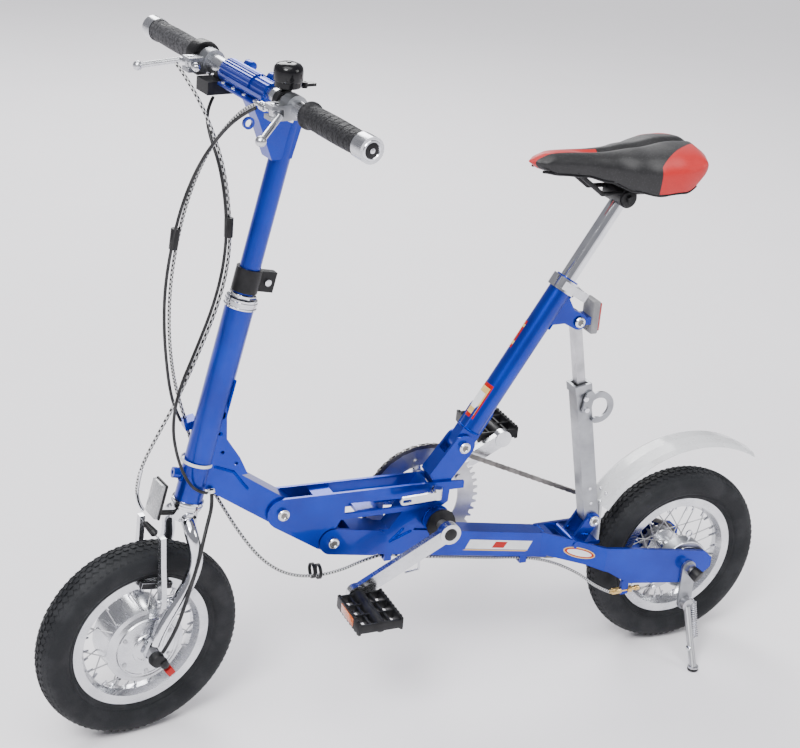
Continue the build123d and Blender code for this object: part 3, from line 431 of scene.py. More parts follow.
@dataclass(frozen=True)
class Braid:
    """A cable housing with a light fleck woven into a dark sheath, along the curve's own UV."""

    name: str
    dark: tuple[float, float, float]
    light: tuple[float, float, float]
    along: float
    around: float

    def material(self) -> bpy.types.Material:
        """Build the material.

        Returns:
            The finished material.
        """
        g = Graph(self.name)
        g.set(Coat_Weight=0.5, Coat_Roughness=0.12)
        node = g.tree.nodes.new("ShaderNodeTexChecker")
        node.inputs["Scale"].default_value = 1.0
        g.link(g.mapped((self.along, self.around, 1.0), "UV"), node.inputs["Vector"])
        g.colour(g.mix(node.outputs["Fac"], self.dark, self.light))
        g.rough(g.spread(g.noise(300.0), 0.25, 0.42))
        g.bump(node.outputs["Fac"], 0.00015, 0.5)
        return g.material


@dataclass(frozen=True)
class Milky:
    """A thin translucent plastic guard with flow marks and fine scuffs."""

    name: str
    tone: tuple[float, float, float]

    def material(self) -> bpy.types.Material:
        """Build the material.

        Returns:
            The finished material.
        """
        g = Graph(self.name)
        g.set(Transmission_Weight=0.12, IOR=1.46, Coat_Weight=0.6, Coat_Roughness=0.12)
        haze = g.noise(9.0, 3.0)
        g.colour(g.mix(g.spread(haze, 0.0, 1.0), self.tone, tuple(c * 0.82 for c in self.tone)))
        scuff = g.noise(40.0, 5.0)
        g.rough(g.spread(scuff, 0.16, 0.42))
        g.bump(scuff, 0.00003, 0.2)
        return g.material


@dataclass(frozen=True)
class SaddleCover:
    """The saddle's dotted black vinyl, with red panels on its nose and rear corners."""

    name: str
    middle_x: float
    middle_y: float

    def material(self) -> bpy.types.Material:
        """Build the material.

        Returns:
            The finished material.
        """
        g = Graph(self.name)
        split = g.tree.nodes.new("ShaderNodeSeparateXYZ")
        g.link(g.coords.outputs["Object"], split.inputs[0])
        x = g.math("SUBTRACT", split.outputs[0], self.middle_x)
        y = g.math("ABSOLUTE", g.math("SUBTRACT", split.outputs[1], self.middle_y))
        nose = g.math("MULTIPLY", g.math("LESS_THAN", x, -0.045), g.math("LESS_THAN", y, 0.0085))
        lead = g.math("ADD", g.math("MULTIPLY", x, -0.55), 0.080)
        corner = g.math("MULTIPLY", g.math("GREATER_THAN", y, lead), g.math("GREATER_THAN", x, 0.03))
        red = g.math("MAXIMUM", nose, corner)
        dots = g.cells(420.0)
        grain = g.noise(900.0, 4.0)
        black = g.mix(g.spread(dots, 1.0, 0.0, 0.16, 0.24), (0.003, 0.003, 0.004), (0.022, 0.022, 0.025))
        panel = g.mix(g.spread(grain, 0.0, 1.0), (0.40, 0.003, 0.004), (0.52, 0.005, 0.006))
        g.colour(g.mix(red, black, panel))
        g.rough(g.spread(grain, 0.36, 0.55))
        g.set(Sheen_Weight=0.15)
        dimple = g.math("MULTIPLY", g.spread(dots, 1.0, 0.0, 0.14, 0.28), g.math("SUBTRACT", 1.0, red))
        g.bump(g.math("ADD", g.math("MULTIPLY", grain, 0.35), dimple), 0.00035, 0.6)
        return g.material


@dataclass(frozen=True)
class Tread:
    """Tyre rubber: fine moulding texture with grey dust where it meets the road."""

    name: str

    def material(self) -> bpy.types.Material:
        """Build the material.

        Returns:
            The finished material.
        """
        g = Graph(self.name)
        g.set(Specular_IOR_Level=0.25)
        dust = g.noise(28.0, 6.0)
        fine = g.noise(700.0, 3.0)
        g.colour(g.mix(g.spread(dust, 0.0, 0.7, 0.45, 0.75), (0.010, 0.011, 0.013), (0.030, 0.031, 0.034)))
        g.rough(g.spread(fine, 0.55, 0.78))
        g.bump(fine, 0.00018, 0.6)
        return g.material


BLUE = Paint("blue_lacquer", (0.0004, 0.030, 0.40), (0.0002, 0.016, 0.26))
POLISHED = Metal("polished_alloy", (0.72, 0.73, 0.75), (0.60, 0.61, 0.64), 0.16, 0.34)
SATIN = Metal("satin_alloy", (0.40, 0.41, 0.43), (0.30, 0.31, 0.33), 0.30, 0.48)
CHROME = Metal(
    "chrome_plate", (0.78, 0.79, 0.82), (0.66, 0.67, 0.71), 0.05, 0.16, (20.0, 20.0, 20.0), 0.00001,
)
STEEL = Metal("zinc_steel", (0.58, 0.58, 0.60), (0.44, 0.44, 0.46), 0.28, 0.5, (200.0, 200.0, 200.0))
DARK_STEEL = Metal("oiled_steel", (0.22, 0.21, 0.2), (0.12, 0.115, 0.11), 0.3, 0.5, (150.0, 150.0, 150.0))
GOLD = Metal("brass_adjuster", (0.78, 0.55, 0.22), (0.66, 0.44, 0.16), 0.2, 0.36)
PLASTIC = Moulded("black_plastic", (0.004, 0.004, 0.005), (0.014, 0.014, 0.015), 0.34, 0.5)
GLOSS = Moulded("gloss_black", (0.003, 0.003, 0.004), (0.010, 0.010, 0.011), 0.12, 0.24, 300.0, 0.00002)
GREY = Moulded("grey_rubber", (0.20, 0.20, 0.21), (0.30, 0.30, 0.31), 0.5, 0.7)
WHITE = Moulded("white_tape", (0.75, 0.75, 0.74), (0.62, 0.62, 0.60), 0.4, 0.6)
# Each lens's second colour is the painted glint on its prisms.
AMBER = Lens("amber_lens", (0.75, 0.12, 0.004), (0.95, 0.28, 0.03), 0.2)
RED = Lens("red_lens", (0.42, 0.004, 0.006), (0.85, 0.03, 0.03), 0.2)
CLEAR = Lens("clear_lens", (0.55, 0.56, 0.58), (0.80, 0.80, 0.83), 0.5)
GRIP = Hatch("grip_rubber", (0.004, 0.004, 0.005), 340.0, 0.0009)
GUARD = Milky("milky_guard", (0.84, 0.85, 0.87))
TYRE = Tread("tyre_rubber")
HOUSING = Braid("checked_housing", (0.01, 0.01, 0.011), (0.62, 0.62, 0.62), 170.0, 4.0)
WIRE = Moulded("black_wire", (0.012, 0.012, 0.013), (0.035, 0.035, 0.036), 0.3, 0.45, 900.0, 0.00004)
DECAL_RED = Moulded("red_decal", (0.40, 0.006, 0.004), (0.34, 0.006, 0.004), 0.2, 0.3, 200.0, 0.00001)
DECAL_GOLD = Moulded("gold_decal", (0.72, 0.5, 0.16), (0.62, 0.42, 0.12), 0.25, 0.35, 200.0, 0.00001)
DECAL_PALE = Moulded("pale_decal", (0.78, 0.79, 0.8), (0.68, 0.69, 0.7), 0.25, 0.35, 200.0, 0.00001)
RED_PLUG = Moulded("red_connector", (0.42, 0.004, 0.004), (0.36, 0.006, 0.006), 0.3, 0.45)
WELD = Metal("painted_weld", (0.0004, 0.030, 0.40), (0.0002, 0.02, 0.30), 0.2, 0.34, (90.0, 90.0, 90.0))

CAD_FINISHES = {
    BLUE: ("rear_frame", "front_frame", "seat_tube", "stem", "bar_clamp"),
    POLISHED: (
        "front_hub", "rear_hub", "front_rim", "rear_rim", "crank_left", "crank_right", "handlebar",
        "brake_arm_left",
        "brake_arm_right", "brake_lever_left", "brake_lever_right", "frame_lever", "seat_lever",
    ),
    SATIN: ("stay_outer", "band_brake", "lever_brackets", "stay_latch", "kickstand_bracket"),
    CHROME: ("headset_cups", "fork", "seat_post", "front_frame_bolts", "seat_clamp", "frame_bolts"),
    STEEL: (
        "front_axle", "rear_axle", "kickstand_leg", "rear_sprocket", "bottom_bracket_axle", "front_spokes",
        "rear_spokes",
        "stay_inner", "chainring", "band_brake_arm",
    ),
    PLASTIC: ("stem_strap", "throttle_housing", "bottom_bracket_cups", "saddle_rails"),
    GLOSS: ("bell", "bell_lever"),
    CLEAR: ("front_reflector",),
    RED: ("rear_reflector",),
    GUARD: ("rear_mudguard",),
}


# ---- bench: mesh tools shared by the sub-assemblies ----
class Bench:
    """Makes meshes in millimetres and hands finished pieces to the frame."""

    def __init__(self) -> None:
        """Start with no materials made."""
        self.made: dict[str, bpy.types.Material] = {}

    def finish(self, finish: object) -> bpy.types.Material:
        """Return a finish's material, built once."""
        if finish.name not in self.made:
            self.made[finish.name] = finish.material()
        return self.made[finish.name]

    def dress_cad(self) -> None:
        """Give every carried-over CAD node its material."""
        for finish, nodes in CAD_FINISHES.items():
            for node in nodes:
                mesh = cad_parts[node].data
                mesh.materials.clear()
                mesh.materials.append(self.finish(finish))

    def add(
        self, name: str, bm: bmesh.types.BMesh, finish: object, body: str, slot: Slot, steered: bool = False,
        replaces: tuple[str, ...] = (), sharp: float = 38.0, outward: bool = True,
    ) -> bpy.types.Object:
        """Turn a drawn mesh into a piece that rides on a body.

        Args:
            name: The piece's name.
            bm: The mesh in millimetres, which is freed.
            finish: The finish that it wears.
            body: The CAD body that it rides on.
            slot: The record's material slot; not used.
            steered: Whether it is drawn straight ahead and turns with the handlebar.
            replaces: CAD nodes that it stands for.
            sharp: The angle in degrees above which an edge stays sharp.
            outward: Whether to recalculate its normals.

        Returns:
            The piece's object.
        """
        if outward:
            bmesh.ops.recalc_face_normals(bm, faces=bm.faces)
        if steered:
            bmesh.ops.transform(bm, matrix=steer_turn(), verts=bm.verts)
        bmesh.ops.translate(bm, vec=ORIGIN, verts=bm.verts)
        bmesh.ops.scale(bm, vec=(0.001, 0.001, 0.001), verts=bm.verts)
        for face in bm.faces:
            face.smooth = True
        for edge in bm.edges:
            edge.smooth = len(edge.link_faces) == 2 and edge.calc_face_angle(0.0) < math.radians(sharp)
        mesh = bpy.data.meshes.new(name)
        bm.to_mesh(mesh)
        bm.free()
        piece = bpy.data.objects.new(name, mesh)
        bpy.context.scene.collection.objects.link(piece)
        mesh.materials.append(self.finish(finish))
        return self.hand_over(piece, body, replaces)

    def hand_over(
        self, piece: bpy.types.Object, body: str, replaces: tuple[str, ...] = (),
    ) -> bpy.types.Object:
        """Let a piece ride on its body, hide what it replaces and report it."""
        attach(piece, body)
        return self.note(piece, replaces)

    def note(self, piece: bpy.types.Object, replaces: tuple[str, ...] = ()) -> bpy.types.Object:
        """Hide what a piece replaces and report it.

        Args:
            piece: The piece's object.
            replaces: CAD nodes that it stands for.

        Returns:
            The same object.
        """
        if replaces:
            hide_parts(*replaces)
        LOG.info("made %s", piece.name)
        return piece

    @staticmethod
    def facing(origin: Vector, direction: Vector) -> Matrix:
        """Return a matrix whose Z runs along a direction."""
        return Matrix.Translation(origin) @ direction.to_track_quat("Z", "Y").to_matrix().to_4x4()

    def rod(
        self, bm: bmesh.types.BMesh, p: Vector, q: Vector, radius: float, end: float | None = None,
        sides: int = 24, soft: float = 0.0,
    ) -> None:
        """Add a round bar or cone from p to q, with softened rims.

        Args:
            bm: The mesh that it is added to.
            p: The middle of its first end.
            q: The middle of its other end.
            radius: The radius at p.
            end: The radius at q, where it differs.
            sides: How many sides it has.
            soft: The width of the bevel on its rims.
        """
        run = q - p
        matrix = self.facing((p + q) / 2, run)
        top = radius if end is None else end
        made = bmesh.ops.create_cone(
            bm, cap_ends=True, segments=sides, radius1=radius, radius2=top, depth=run.length, matrix=matrix,
        )["verts"]
        if soft:
            rims = [e for e in {e for v in made for e in v.link_edges} if e.calc_face_angle(0.0) > 1.0]
            bmesh.ops.bevel(bm, geom=rims, offset=soft, segments=2, profile=0.5, affect="EDGES", material=-1)

    def block(
        self, bm: bmesh.types.BMesh, centre: Vector, size: tuple[float, float, float],
        turn: Matrix | None = None, soft: float = 0.8,
    ) -> None:
        """Add a box with softened edges.

        Args:
            bm: The mesh that it is added to.
            centre: Its middle.
            size: Its three sides.
            turn: How it is turned.
            soft: The width of the bevel on its edges.
        """
        matrix = Matrix.Translation(centre) @ (turn or Matrix.Identity(4)) @ Matrix.Diagonal((*size, 1.0))
        made = bmesh.ops.create_cube(bm, size=1.0, matrix=matrix)["verts"]
        if soft:
            edges = list({e for v in made for e in v.link_edges})
            bmesh.ops.bevel(bm, geom=edges, offset=soft, segments=2, profile=0.5, affect="EDGES", material=-1)

    def ball(
        self, bm: bmesh.types.BMesh, centre: Vector, radius: float,
        squash: tuple[float, float, float] = (1.0, 1.0, 1.0), detail: int = 12,
    ) -> None:
        """Add a ball, squashed along the axes."""
        matrix = Matrix.Translation(centre) @ Matrix.Diagonal((*squash, 1.0))
        bmesh.ops.create_uvsphere(bm, u_segments=detail * 2, v_segments=detail, radius=radius, matrix=matrix)

    def lathe(
        self, bm: bmesh.types.BMesh, profile: list[tuple[float, float]], origin: Vector, axis: Vector,
        steps: int = 64, closed: bool = False,
    ) -> None:
        """Spin a (radius, distance) profile about an axis.

        Args:
            bm: The mesh to add to.
            profile: The profile's points.
            origin: The axis's start.
            axis: The axis's direction.
            steps: How many steps the full turn takes.
            closed: Whether the profile is a closed loop.
        """
        axis = axis.normalized()
        side = axis.orthogonal().normalized()
        verts = [bm.verts.new(origin + side * r + axis * d) for r, d in profile]
        pairs = list(zip(verts, verts[1:])) + ([(verts[-1], verts[0])] if closed else [])
        edges = [bm.edges.new(pair) for pair in pairs]
        bmesh.ops.spin(
            bm, geom=verts + edges, cent=origin, axis=axis, angle=2 * math.pi, steps=steps, use_merge=True,
        )
        bmesh.ops.remove_doubles(bm, verts=bm.verts, dist=0.001)

    def coil(
        self, bm: bmesh.types.BMesh, p: Vector, q: Vector, radius: float, wire: float, turns: int,
    ) -> None:
        """Add a coil spring from p to q.

        Args:
            bm: The mesh that it is added to.
            p: The middle of its first end.
            q: The middle of its other end.
            radius: The coil's radius.
            wire: The wire's radius.
            turns: How many turns it has.
        """
        axis = (q - p).normalized()
        side = axis.orthogonal().normalized()
        start = p + side * radius
        ring = bmesh.ops.create_circle(
            bm, segments=7, radius=wire, matrix=self.facing(start, axis.cross(side)),
        )["verts"]
        edges = list({e for v in ring for e in v.link_edges})
        steps = turns * 18
        rise = axis * ((q - p).length / steps)
        bmesh.ops.spin(
            bm, geom=ring + edges, cent=p, axis=axis, dvec=rise, angle=2 * math.pi * turns, steps=steps,
        )

    def plate(self, bm: bmesh.types.BMesh, outline: list[Vector], thick: Vector, soft: float = 0.0) -> None:
        """Add a flat plate from an outline, thickened along a vector.

        Args:
            bm: The mesh that it is added to.
            outline: Its corners in order.
            thick: The way and the depth of its thickness.
            soft: The width of the bevel on its edges.
        """
        face = bm.faces.new([bm.verts.new(p) for p in outline])
        grown = bmesh.ops.extrude_face_region(bm, geom=[face])["geom"]
        verts = [v for v in grown if isinstance(v, bmesh.types.BMVert)]
        bmesh.ops.translate(bm, vec=thick, verts=verts)
        if soft:
            edges = list({e for v in verts for e in v.link_edges})
            bmesh.ops.bevel(bm, geom=edges, offset=soft, segments=1, profile=0.5, affect="EDGES", material=-1)

    def cord(
        self, name: str, route: list[tuple[float, float, float]], radius: float, finish: object,
        steered: bool = False,
    ) -> bpy.types.Object:
        """Make a smooth cord along given points.

        Args:
            name: The cord's name.
            route: Its points in millimetres.
            radius: Its radius in millimetres.
            finish: The finish that it wears.
            steered: Whether its points are drawn straight ahead.

        Returns:
            The cord's curve object.
        """
        data = bpy.data.curves.new(name, "CURVE")
        data.dimensions = "3D"
        data.bevel_depth = radius * 0.001
        data.bevel_resolution = 4
        data.resolution_u = 10
        data.use_fill_caps = True
        spline = data.splines.new("NURBS")
        spline.points.add(len(route) - 1)
        turn = steer_turn() if steered else Matrix.Identity(4)
        for point, place in zip(spline.points, route):
            point.co = (*metres(turn @ Vector(place)), 1.0)
        spline.order_u = 3
        spline.use_endpoint_u = True
        piece = bpy.data.objects.new(name, data)
        bpy.context.scene.collection.objects.link(piece)
        data.materials.append(self.finish(finish))
        return piece

    def meshed(self, cord: bpy.types.Object) -> tuple[bpy.types.Object, list[tuple[float, float, float]]]:
        """Turn a cord into a mesh tube.

        Args:
            cord: The cord's curve object, which is removed.

        Returns:
            The mesh object, and the points that its tube follows.
        """
        bpy.context.view_layer.update()
        name, curve = cord.name, cord.data
        mesh = bpy.data.meshes.new_from_object(cord.evaluated_get(bpy.context.evaluated_depsgraph_get()))
        curve.bevel_depth = 0.0
        bpy.context.view_layer.update()
        line = bpy.data.meshes.new_from_object(cord.evaluated_get(bpy.context.evaluated_depsgraph_get()))
        path = [tuple(v.co) for v in line.vertices]
        bpy.data.meshes.remove(line)
        bpy.data.objects.remove(cord)
        bpy.data.curves.remove(curve)
        mesh.name = name
        mesh.shade_smooth()
        piece = bpy.data.objects.new(name, mesh)
        bpy.context.scene.collection.objects.link(piece)
        return piece, path


BENCH = Bench()


@dataclass
class Wheel:
    """One wheel's tyre with its tread, spoke nipples and valve."""

    side: str
    centre: Vector
    body: str
    steered: bool
    crown: float = 158.9
    lugs: int = 84
    spokes: int = 28
    profile: list[tuple[float, float]] = field(default_factory=lambda: [
        (103.0, 12.4), (109.4, 15.2), (112.8, 17.4), (114.2, 19.6), (117.4, 20.2), (118.4, 22.2),
        (124.0, 25.6), (131.0, 27.9),
        (137.0, 28.3), (143.0, 27.5), (148.2, 25.0), (150.6, 21.8), (153.2, 18.0), (155.2, 12.0),
        (156.6, 6.0), (156.9, 0.0),
    ])

    def build(self) -> None:
        """Make the wheel's pieces."""
        self.make_tyre()
        self.make_nipples()
        self.make_valve()

    def make_tyre(self) -> None:
        """Spin the casing and stand the tread blocks on it."""
        bm = bmesh.new()
        near = [(r, -y) for r, y in self.profile]
        far = [(r, y) for r, y in reversed(self.profile[:-1])]
        BENCH.lathe(bm, near + far, self.centre, Y, 120, closed=True)
        for i in range(self.lugs):
            turn = 2 * math.pi * i / self.lugs
            self.block_row(bm, turn, 0.0, 157.6, (7.6, 6.4, 2.0), 0.0)
            for hand in (-1, 1):
                self.block_row(bm, turn + math.pi / self.lugs, hand * 8.4, 156.2, (9.0, 7.4, 2.0), hand * 0.6)
                self.block_row(bm, turn, hand * 16.2, 153.0, (8.2, 7.0, 2.0), hand * 0.5)
                self.block_row(
                    bm, turn + math.pi / self.lugs, hand * 22.6, 148.6, (6.4, 6.4, 1.8), hand * 0.3,
                )
        BENCH.add(
            f"{self.side}_tyre_treaded", bm, TYRE, self.body, Slot.TYRE, self.steered, (f"{self.side}_tyre",),
        )

    def block_row(
        self, bm: bmesh.types.BMesh, turn: float, y: float, radius: float, size: tuple[float, float, float],
        skew: float,
    ) -> None:
        """Stand one tread block at an angle round the tyre.

        Args:
            bm: The tyre's mesh.
            turn: The angle round the wheel.
            y: The distance from the middle plane.
            radius: The radius of the block's middle.
            size: Its length round the tyre, width and height.
            skew: Its turn about the tyre's normal, in radians.
        """
        lean = math.asin(max(-0.9, min(0.9, y / 27.0)))
        matrix = Matrix.Translation(self.centre) @ Matrix.Rotation(-turn, 4, "Y") @ Matrix.Translation(
            (radius, y, 0.0),
        )
        matrix = matrix @ Matrix.Rotation(lean, 4, "Z") @ Matrix.Rotation(skew, 4, "X")
        matrix = matrix @ Matrix.Diagonal((size[2], size[1], size[0], 1.0))
        bmesh.ops.create_cube(bm, size=1.0, matrix=matrix)

    def make_nipples(self) -> None:
        """Add a nipple at each spoke's outer end."""
        bm = bmesh.new()
        for i in range(self.spokes):
            turn = 2 * math.pi * i / self.spokes
            lean = 2.2 if i % 2 else -2.2
            out = Vector((math.cos(turn), 0.0, math.sin(turn)))
            foot = self.centre + out * 88.8 + Y * lean
            BENCH.rod(bm, foot, foot - out * 9.0 + Y * lean * 0.5, 2.3, 1.5, sides=8)
        BENCH.add(f"{self.side}_nipples", bm, CHROME, self.body, Slot.CHROME, self.steered)

    def make_valve(self) -> None:
        """Add the valve stem, its nut and its cap."""
        turn = math.radians(247.0)
        out = Vector((math.cos(turn), 0.0, math.sin(turn)))
        bm = bmesh.new()
        start = self.centre + out * 88.0
        BENCH.rod(bm, start, start - out * 3.0, 4.6, sides=6)
        BENCH.rod(bm, start, start - out * 19.0, 2.6, soft=0.3)
        BENCH.add(f"{self.side}_valve", bm, STEEL, self.body, Slot.STEEL, self.steered)
        bm = bmesh.new()
        BENCH.rod(bm, start - out * 14.0, start - out * 24.0, 3.9, 3.2, sides=16, soft=0.7)
        BENCH.add(f"{self.side}_valve_cap", bm, PLASTIC, self.body, Slot.PLASTIC, self.steered)


@dataclass
class HubMotor:
    """The trim on the front hub motor: cover rings, cover screws, and its cable's way out of the axle."""

    centre: Vector = field(default_factory=lambda: FRONT_AXLE.copy())
    screws: int = 6
    screw_circle: float = 41.0

    def build(self) -> None:
        """Make the rings, screws, cap and connector."""
        bm = bmesh.new()
        for hand in (-1, 1):
            y = hand * 32.4
            BENCH.lathe(
                bm,
                [
                    (44.0, y - hand * 1.5), (45.5, y + hand * 0.9), (47.5, y + hand * 0.9),
                    (49.0, y - hand * 1.8),
                ],
                self.centre, Y, 72,
            )
            BENCH.lathe(
                bm, [(19.0, y), (20.0, y + hand * 3.4), (24.0, y + hand * 3.0), (26.0, y)], self.centre, Y,
                48,
            )
        BENCH.add("motor_cover_rings", bm, POLISHED, "front_wheel", Slot.POLISHED, True)
        bm = bmesh.new()
        for hand in (-1, 1):
            for i in range(self.screws):
                turn = 2 * math.pi * (i + 0.5) / self.screws
                place = self.centre + Vector((math.cos(turn), 0.0, math.sin(turn))) * self.screw_circle
                BENCH.rod(bm, place + Y * hand * 31.5, place + Y * hand * 34.6, 3.4, sides=16, soft=0.5)
                BENCH.rod(bm, place + Y * hand * 34.0, place + Y * hand * 34.8, 1.6, sides=6)
        BENCH.add("motor_screws", bm, STEEL, "front_wheel", Slot.STEEL, True)
        bm = bmesh.new()
        BENCH.rod(bm, self.centre - Y * 61.0, self.centre - Y * 73.0, 12.5, 10.5, sides=32, soft=1.8)
        BENCH.rod(bm, self.centre + Y * 61.0, self.centre + Y * 72.0, 11.5, 10.0, sides=32, soft=1.8)
        BENCH.rod(
            bm, self.centre + Vector((7.0, -69.0, -2.0)), self.centre + Vector((13.0, -69.0, -13.0)), 7.0,
            6.5, sides=20, soft=1.2,
        )
        BENCH.add("axle_caps", bm, PLASTIC, "steering", Slot.PLASTIC, True)
        bm = bmesh.new()
        tilt = Matrix.Rotation(math.radians(-35.0), 4, "Y")
        BENCH.block(bm, self.centre + Vector((20.0, -68.0, -24.0)), (12.0, 9.0, 13.0), tilt, 1.0)
        BENCH.add("motor_connector", bm, RED_PLUG, "steering", Slot.RED, True)


@dataclass
class Drive:
    """Chain links, chainring bolts, crank caps and pedals."""

    pitch: float = 12.7
    ring_teeth: int = 48
    cog_teeth: int = 16
    crank_axis: Vector = field(default_factory=lambda: at(-465.0, 139.0))
    crank_turn: float = math.radians(209.0)
    crank_length: float = 170.0
    chain_line: float = 42.0
    pedal_in: float = 73.5
    pedal_width: float = 94.0

    def radius(self, teeth: int) -> float:
        """Return the pitch radius for a number of teeth."""
        return self.pitch / (2 * math.sin(math.pi / teeth))

    def build(self) -> None:
        """Make the chain, its bolts and both pedals."""
        self.make_chain()
        self.make_crank_trim()
        for side, hand in (("left", -1), ("right", 1)):
            reach = -hand * self.crank_length
            end = self.crank_axis + Vector(
                (math.cos(self.crank_turn), 0.0, math.sin(self.crank_turn)),
            ) * reach
            self.make_pedal(side, hand, end)

    def loop_points(self) -> list[Vector]:
        """Place the chain's pins round the two chain wheels, evenly spaced.

        Returns:
            The middle of each pin.
        """
        big, small = self.radius(self.ring_teeth), self.radius(self.cog_teeth)
        span = REAR_AXLE - self.crank_axis
        reach = span.length
        heading = math.atan2(span.z, span.x)
        spread = math.acos((big - small) / reach)
        straight = math.sqrt(reach ** 2 - (big - small) ** 2)
        big_arc, small_arc = big * (2 * math.pi - 2 * spread), small * 2 * spread
        total = big_arc + small_arc + 2 * straight
        count = 2 * round(total / self.pitch / 2)
        top, low = heading + spread, heading - spread
        places = []
        for i in range(count):
            s = total * i / count
            if s < straight:
                out = Vector((math.cos(top), 0.0, math.sin(top)))
                places.append((self.crank_axis + out * big).lerp(REAR_AXLE + out * small, s / straight))
            elif s < straight + small_arc:
                turn = top - (s - straight) / small
                places.append(REAR_AXLE + Vector((math.cos(turn), 0.0, math.sin(turn))) * small)
            elif s < 2 * straight + small_arc:
                out = Vector((math.cos(low), 0.0, math.sin(low)))
                share = (s - straight - small_arc) / straight
                places.append((REAR_AXLE + out * small).lerp(self.crank_axis + out * big, share))
            else:
                turn = low - (s - 2 * straight - small_arc) / big
                places.append(self.crank_axis + Vector((math.cos(turn), 0.0, math.sin(turn))) * big)
        return places

    def make_chain(self) -> None:
        """Lay the links' plates, rollers and pins round the loop."""
        pins = self.loop_points()
        bm = bmesh.new()
        for i, (here, there) in enumerate(zip(pins, pins[1:] + pins[:1])):
            step = there - here
            heading = math.atan2(step.z, step.x)
            for hand in (-1, 1):
                y = self.chain_line + hand * (1.75 if i % 2 else 2.65)
                matrix = Matrix.Translation(
                    (here + there) / 2 + Y * y,
                ) @ Matrix.Rotation(-heading, 4, "Y") @ Matrix.Rotation(math.pi / 2, 4, "X")
                link = bmesh.ops.create_cone(
                    bm, cap_ends=True, segments=12, radius1=4.1, radius2=4.1, depth=0.85,
                )["verts"]
                for v in link:
                    waist = 1.0 if abs(v.co.x) > 1.5 else 0.72
                    v.co.x += math.copysign(step.length / 2, v.co.x) if abs(v.co.x) > 0.5 else 0.0
                    v.co.y *= waist
                bmesh.ops.transform(bm, matrix=matrix, verts=link)
            BENCH.rod(
                bm, here + Y * (self.chain_line - 1.2), here + Y * (self.chain_line + 1.2), 3.7, sides=8,
            )
            BENCH.rod(
                bm, here + Y * (self.chain_line - 3.5), here + Y * (self.chain_line + 3.5), 1.7, sides=8,
            )
        BENCH.add("chain_links", bm, DARK_STEEL, "rear_frame", Slot.STEEL, replaces=("chain",))

    def make_crank_trim(self) -> None:
        """Add the chainring bolts and the crank's dust caps."""
        bm = bmesh.new()
        circle = self.radius(self.ring_teeth) - 25.0
        for i in range(5):
            turn = self.crank_turn + math.radians(36.0 + 72.0 * i)
            place = self.crank_axis + Vector((math.cos(turn), 0.0, math.sin(turn))) * circle
            BENCH.rod(bm, place + Y * 47.8, place + Y * 50.0, 5.2, sides=24, soft=0.6)
            BENCH.rod(bm, place + Y * 50.0, place + Y * 50.4, 2.6, sides=6)
        BENCH.add("chainring_bolts", bm, CHROME, "crank", Slot.CHROME)
        bm = bmesh.new()
        for hand in (-1, 1):
            BENCH.lathe(
                bm, [(0.01, hand * 74.6), (8.5, hand * 74.3), (10.5, hand * 73.2), (10.8, hand * 72.0)],
                self.crank_axis, Y, 32,
            )
        BENCH.add("crank_caps", bm, PLASTIC, "crank", Slot.PLASTIC)
        bm = bmesh.new()
        for hand in (-1, 1):
            profile = [(17.0, hand * 38.2), (23.6, hand * 38.2), (23.8, hand * 37.0), (23.8, hand * 34.4)]
            BENCH.lathe(bm, profile, self.crank_axis, Y, 40)
            for i in range(8):
                turn = math.pi / 4 * i
                place = self.crank_axis + Vector((math.cos(turn), 0.0, math.sin(turn))) * 23.4
                BENCH.block(bm, place + Y * hand * 36.2, (3.0, 3.4, 3.0), Matrix.Rotation(-turn, 4, "Y"), 0.3)
        BENCH.add("bearing_lockrings", bm, PLASTIC, "rear_frame", Slot.PLASTIC)

    def make_pedal(self, side: str, hand: int, end: Vector) -> None:
        """Build one pedal.

        Args:
            side: left or right.
            hand: -1 for left and 1 for right.
            end: The crank's end in the middle plane.
        """
        near = hand * self.pedal_in
        middle = hand * (self.pedal_in + self.pedal_width / 2)
        bm = bmesh.new()
        for edge in (-1, 1):
            BENCH.block(
                bm, end + Vector((edge * 33.5, middle + hand * 1.5, 0.0)), (4.6, 88.0, 20.0), None, 1.2,
            )
            BENCH.block(bm, end + Vector((edge * 16.0, middle, 0.0)), (4.0, 86.0, 11.0), None, 1.0)
            for i in range(9):
                y = middle + (i - 4) * 9.5
                for top in (-1, 1):
                    matrix = Matrix.Translation(end + Vector((edge * 33.5, y, top * 10.8)))
                    bmesh.ops.create_cone(
                        bm, cap_ends=True, segments=4, radius1=2.9, radius2=1.2, depth=3.0,
                        matrix=matrix @ Matrix.Rotation(0.0 if top > 0 else math.pi, 4, "X"),
                    )
        for share, wide in ((0.05, 4.5), (0.36, 3.6), (0.66, 3.6), (0.96, 4.6)):
            y = near + hand * self.pedal_width * share
            BENCH.block(bm, end + Vector((0.0, y, 0.0)), (69.0, wide, 14.0), None, 1.0)
        BENCH.rod(bm, end + Y * near, end + Y * (near + hand * 92.0), 10.8, 9.6, sides=28, soft=1.2)
        BENCH.add(
            f"pedal_{side}_cage", bm, PLASTIC, f"{side}_pedal", Slot.PLASTIC, replaces=(f"pedal_{side}",),
        )
        bm = bmesh.new()
        for edge in (-1, 1):
            BENCH.block(bm, end + Vector((edge * 35.6, middle, 0.0)), (2.2, 46.0, 14.0), None, 0.7)
        BENCH.add(f"pedal_{side}_reflectors", bm, AMBER, f"{side}_pedal", Slot.RED)
        bm = bmesh.new()
        BENCH.rod(bm, end + Y * (near - hand * 0.3), end + Y * (near - hand * 2.2), 8.6, sides=6)
        BENCH.add(f"pedal_{side}_nut", bm, CHROME, "crank", Slot.CHROME)


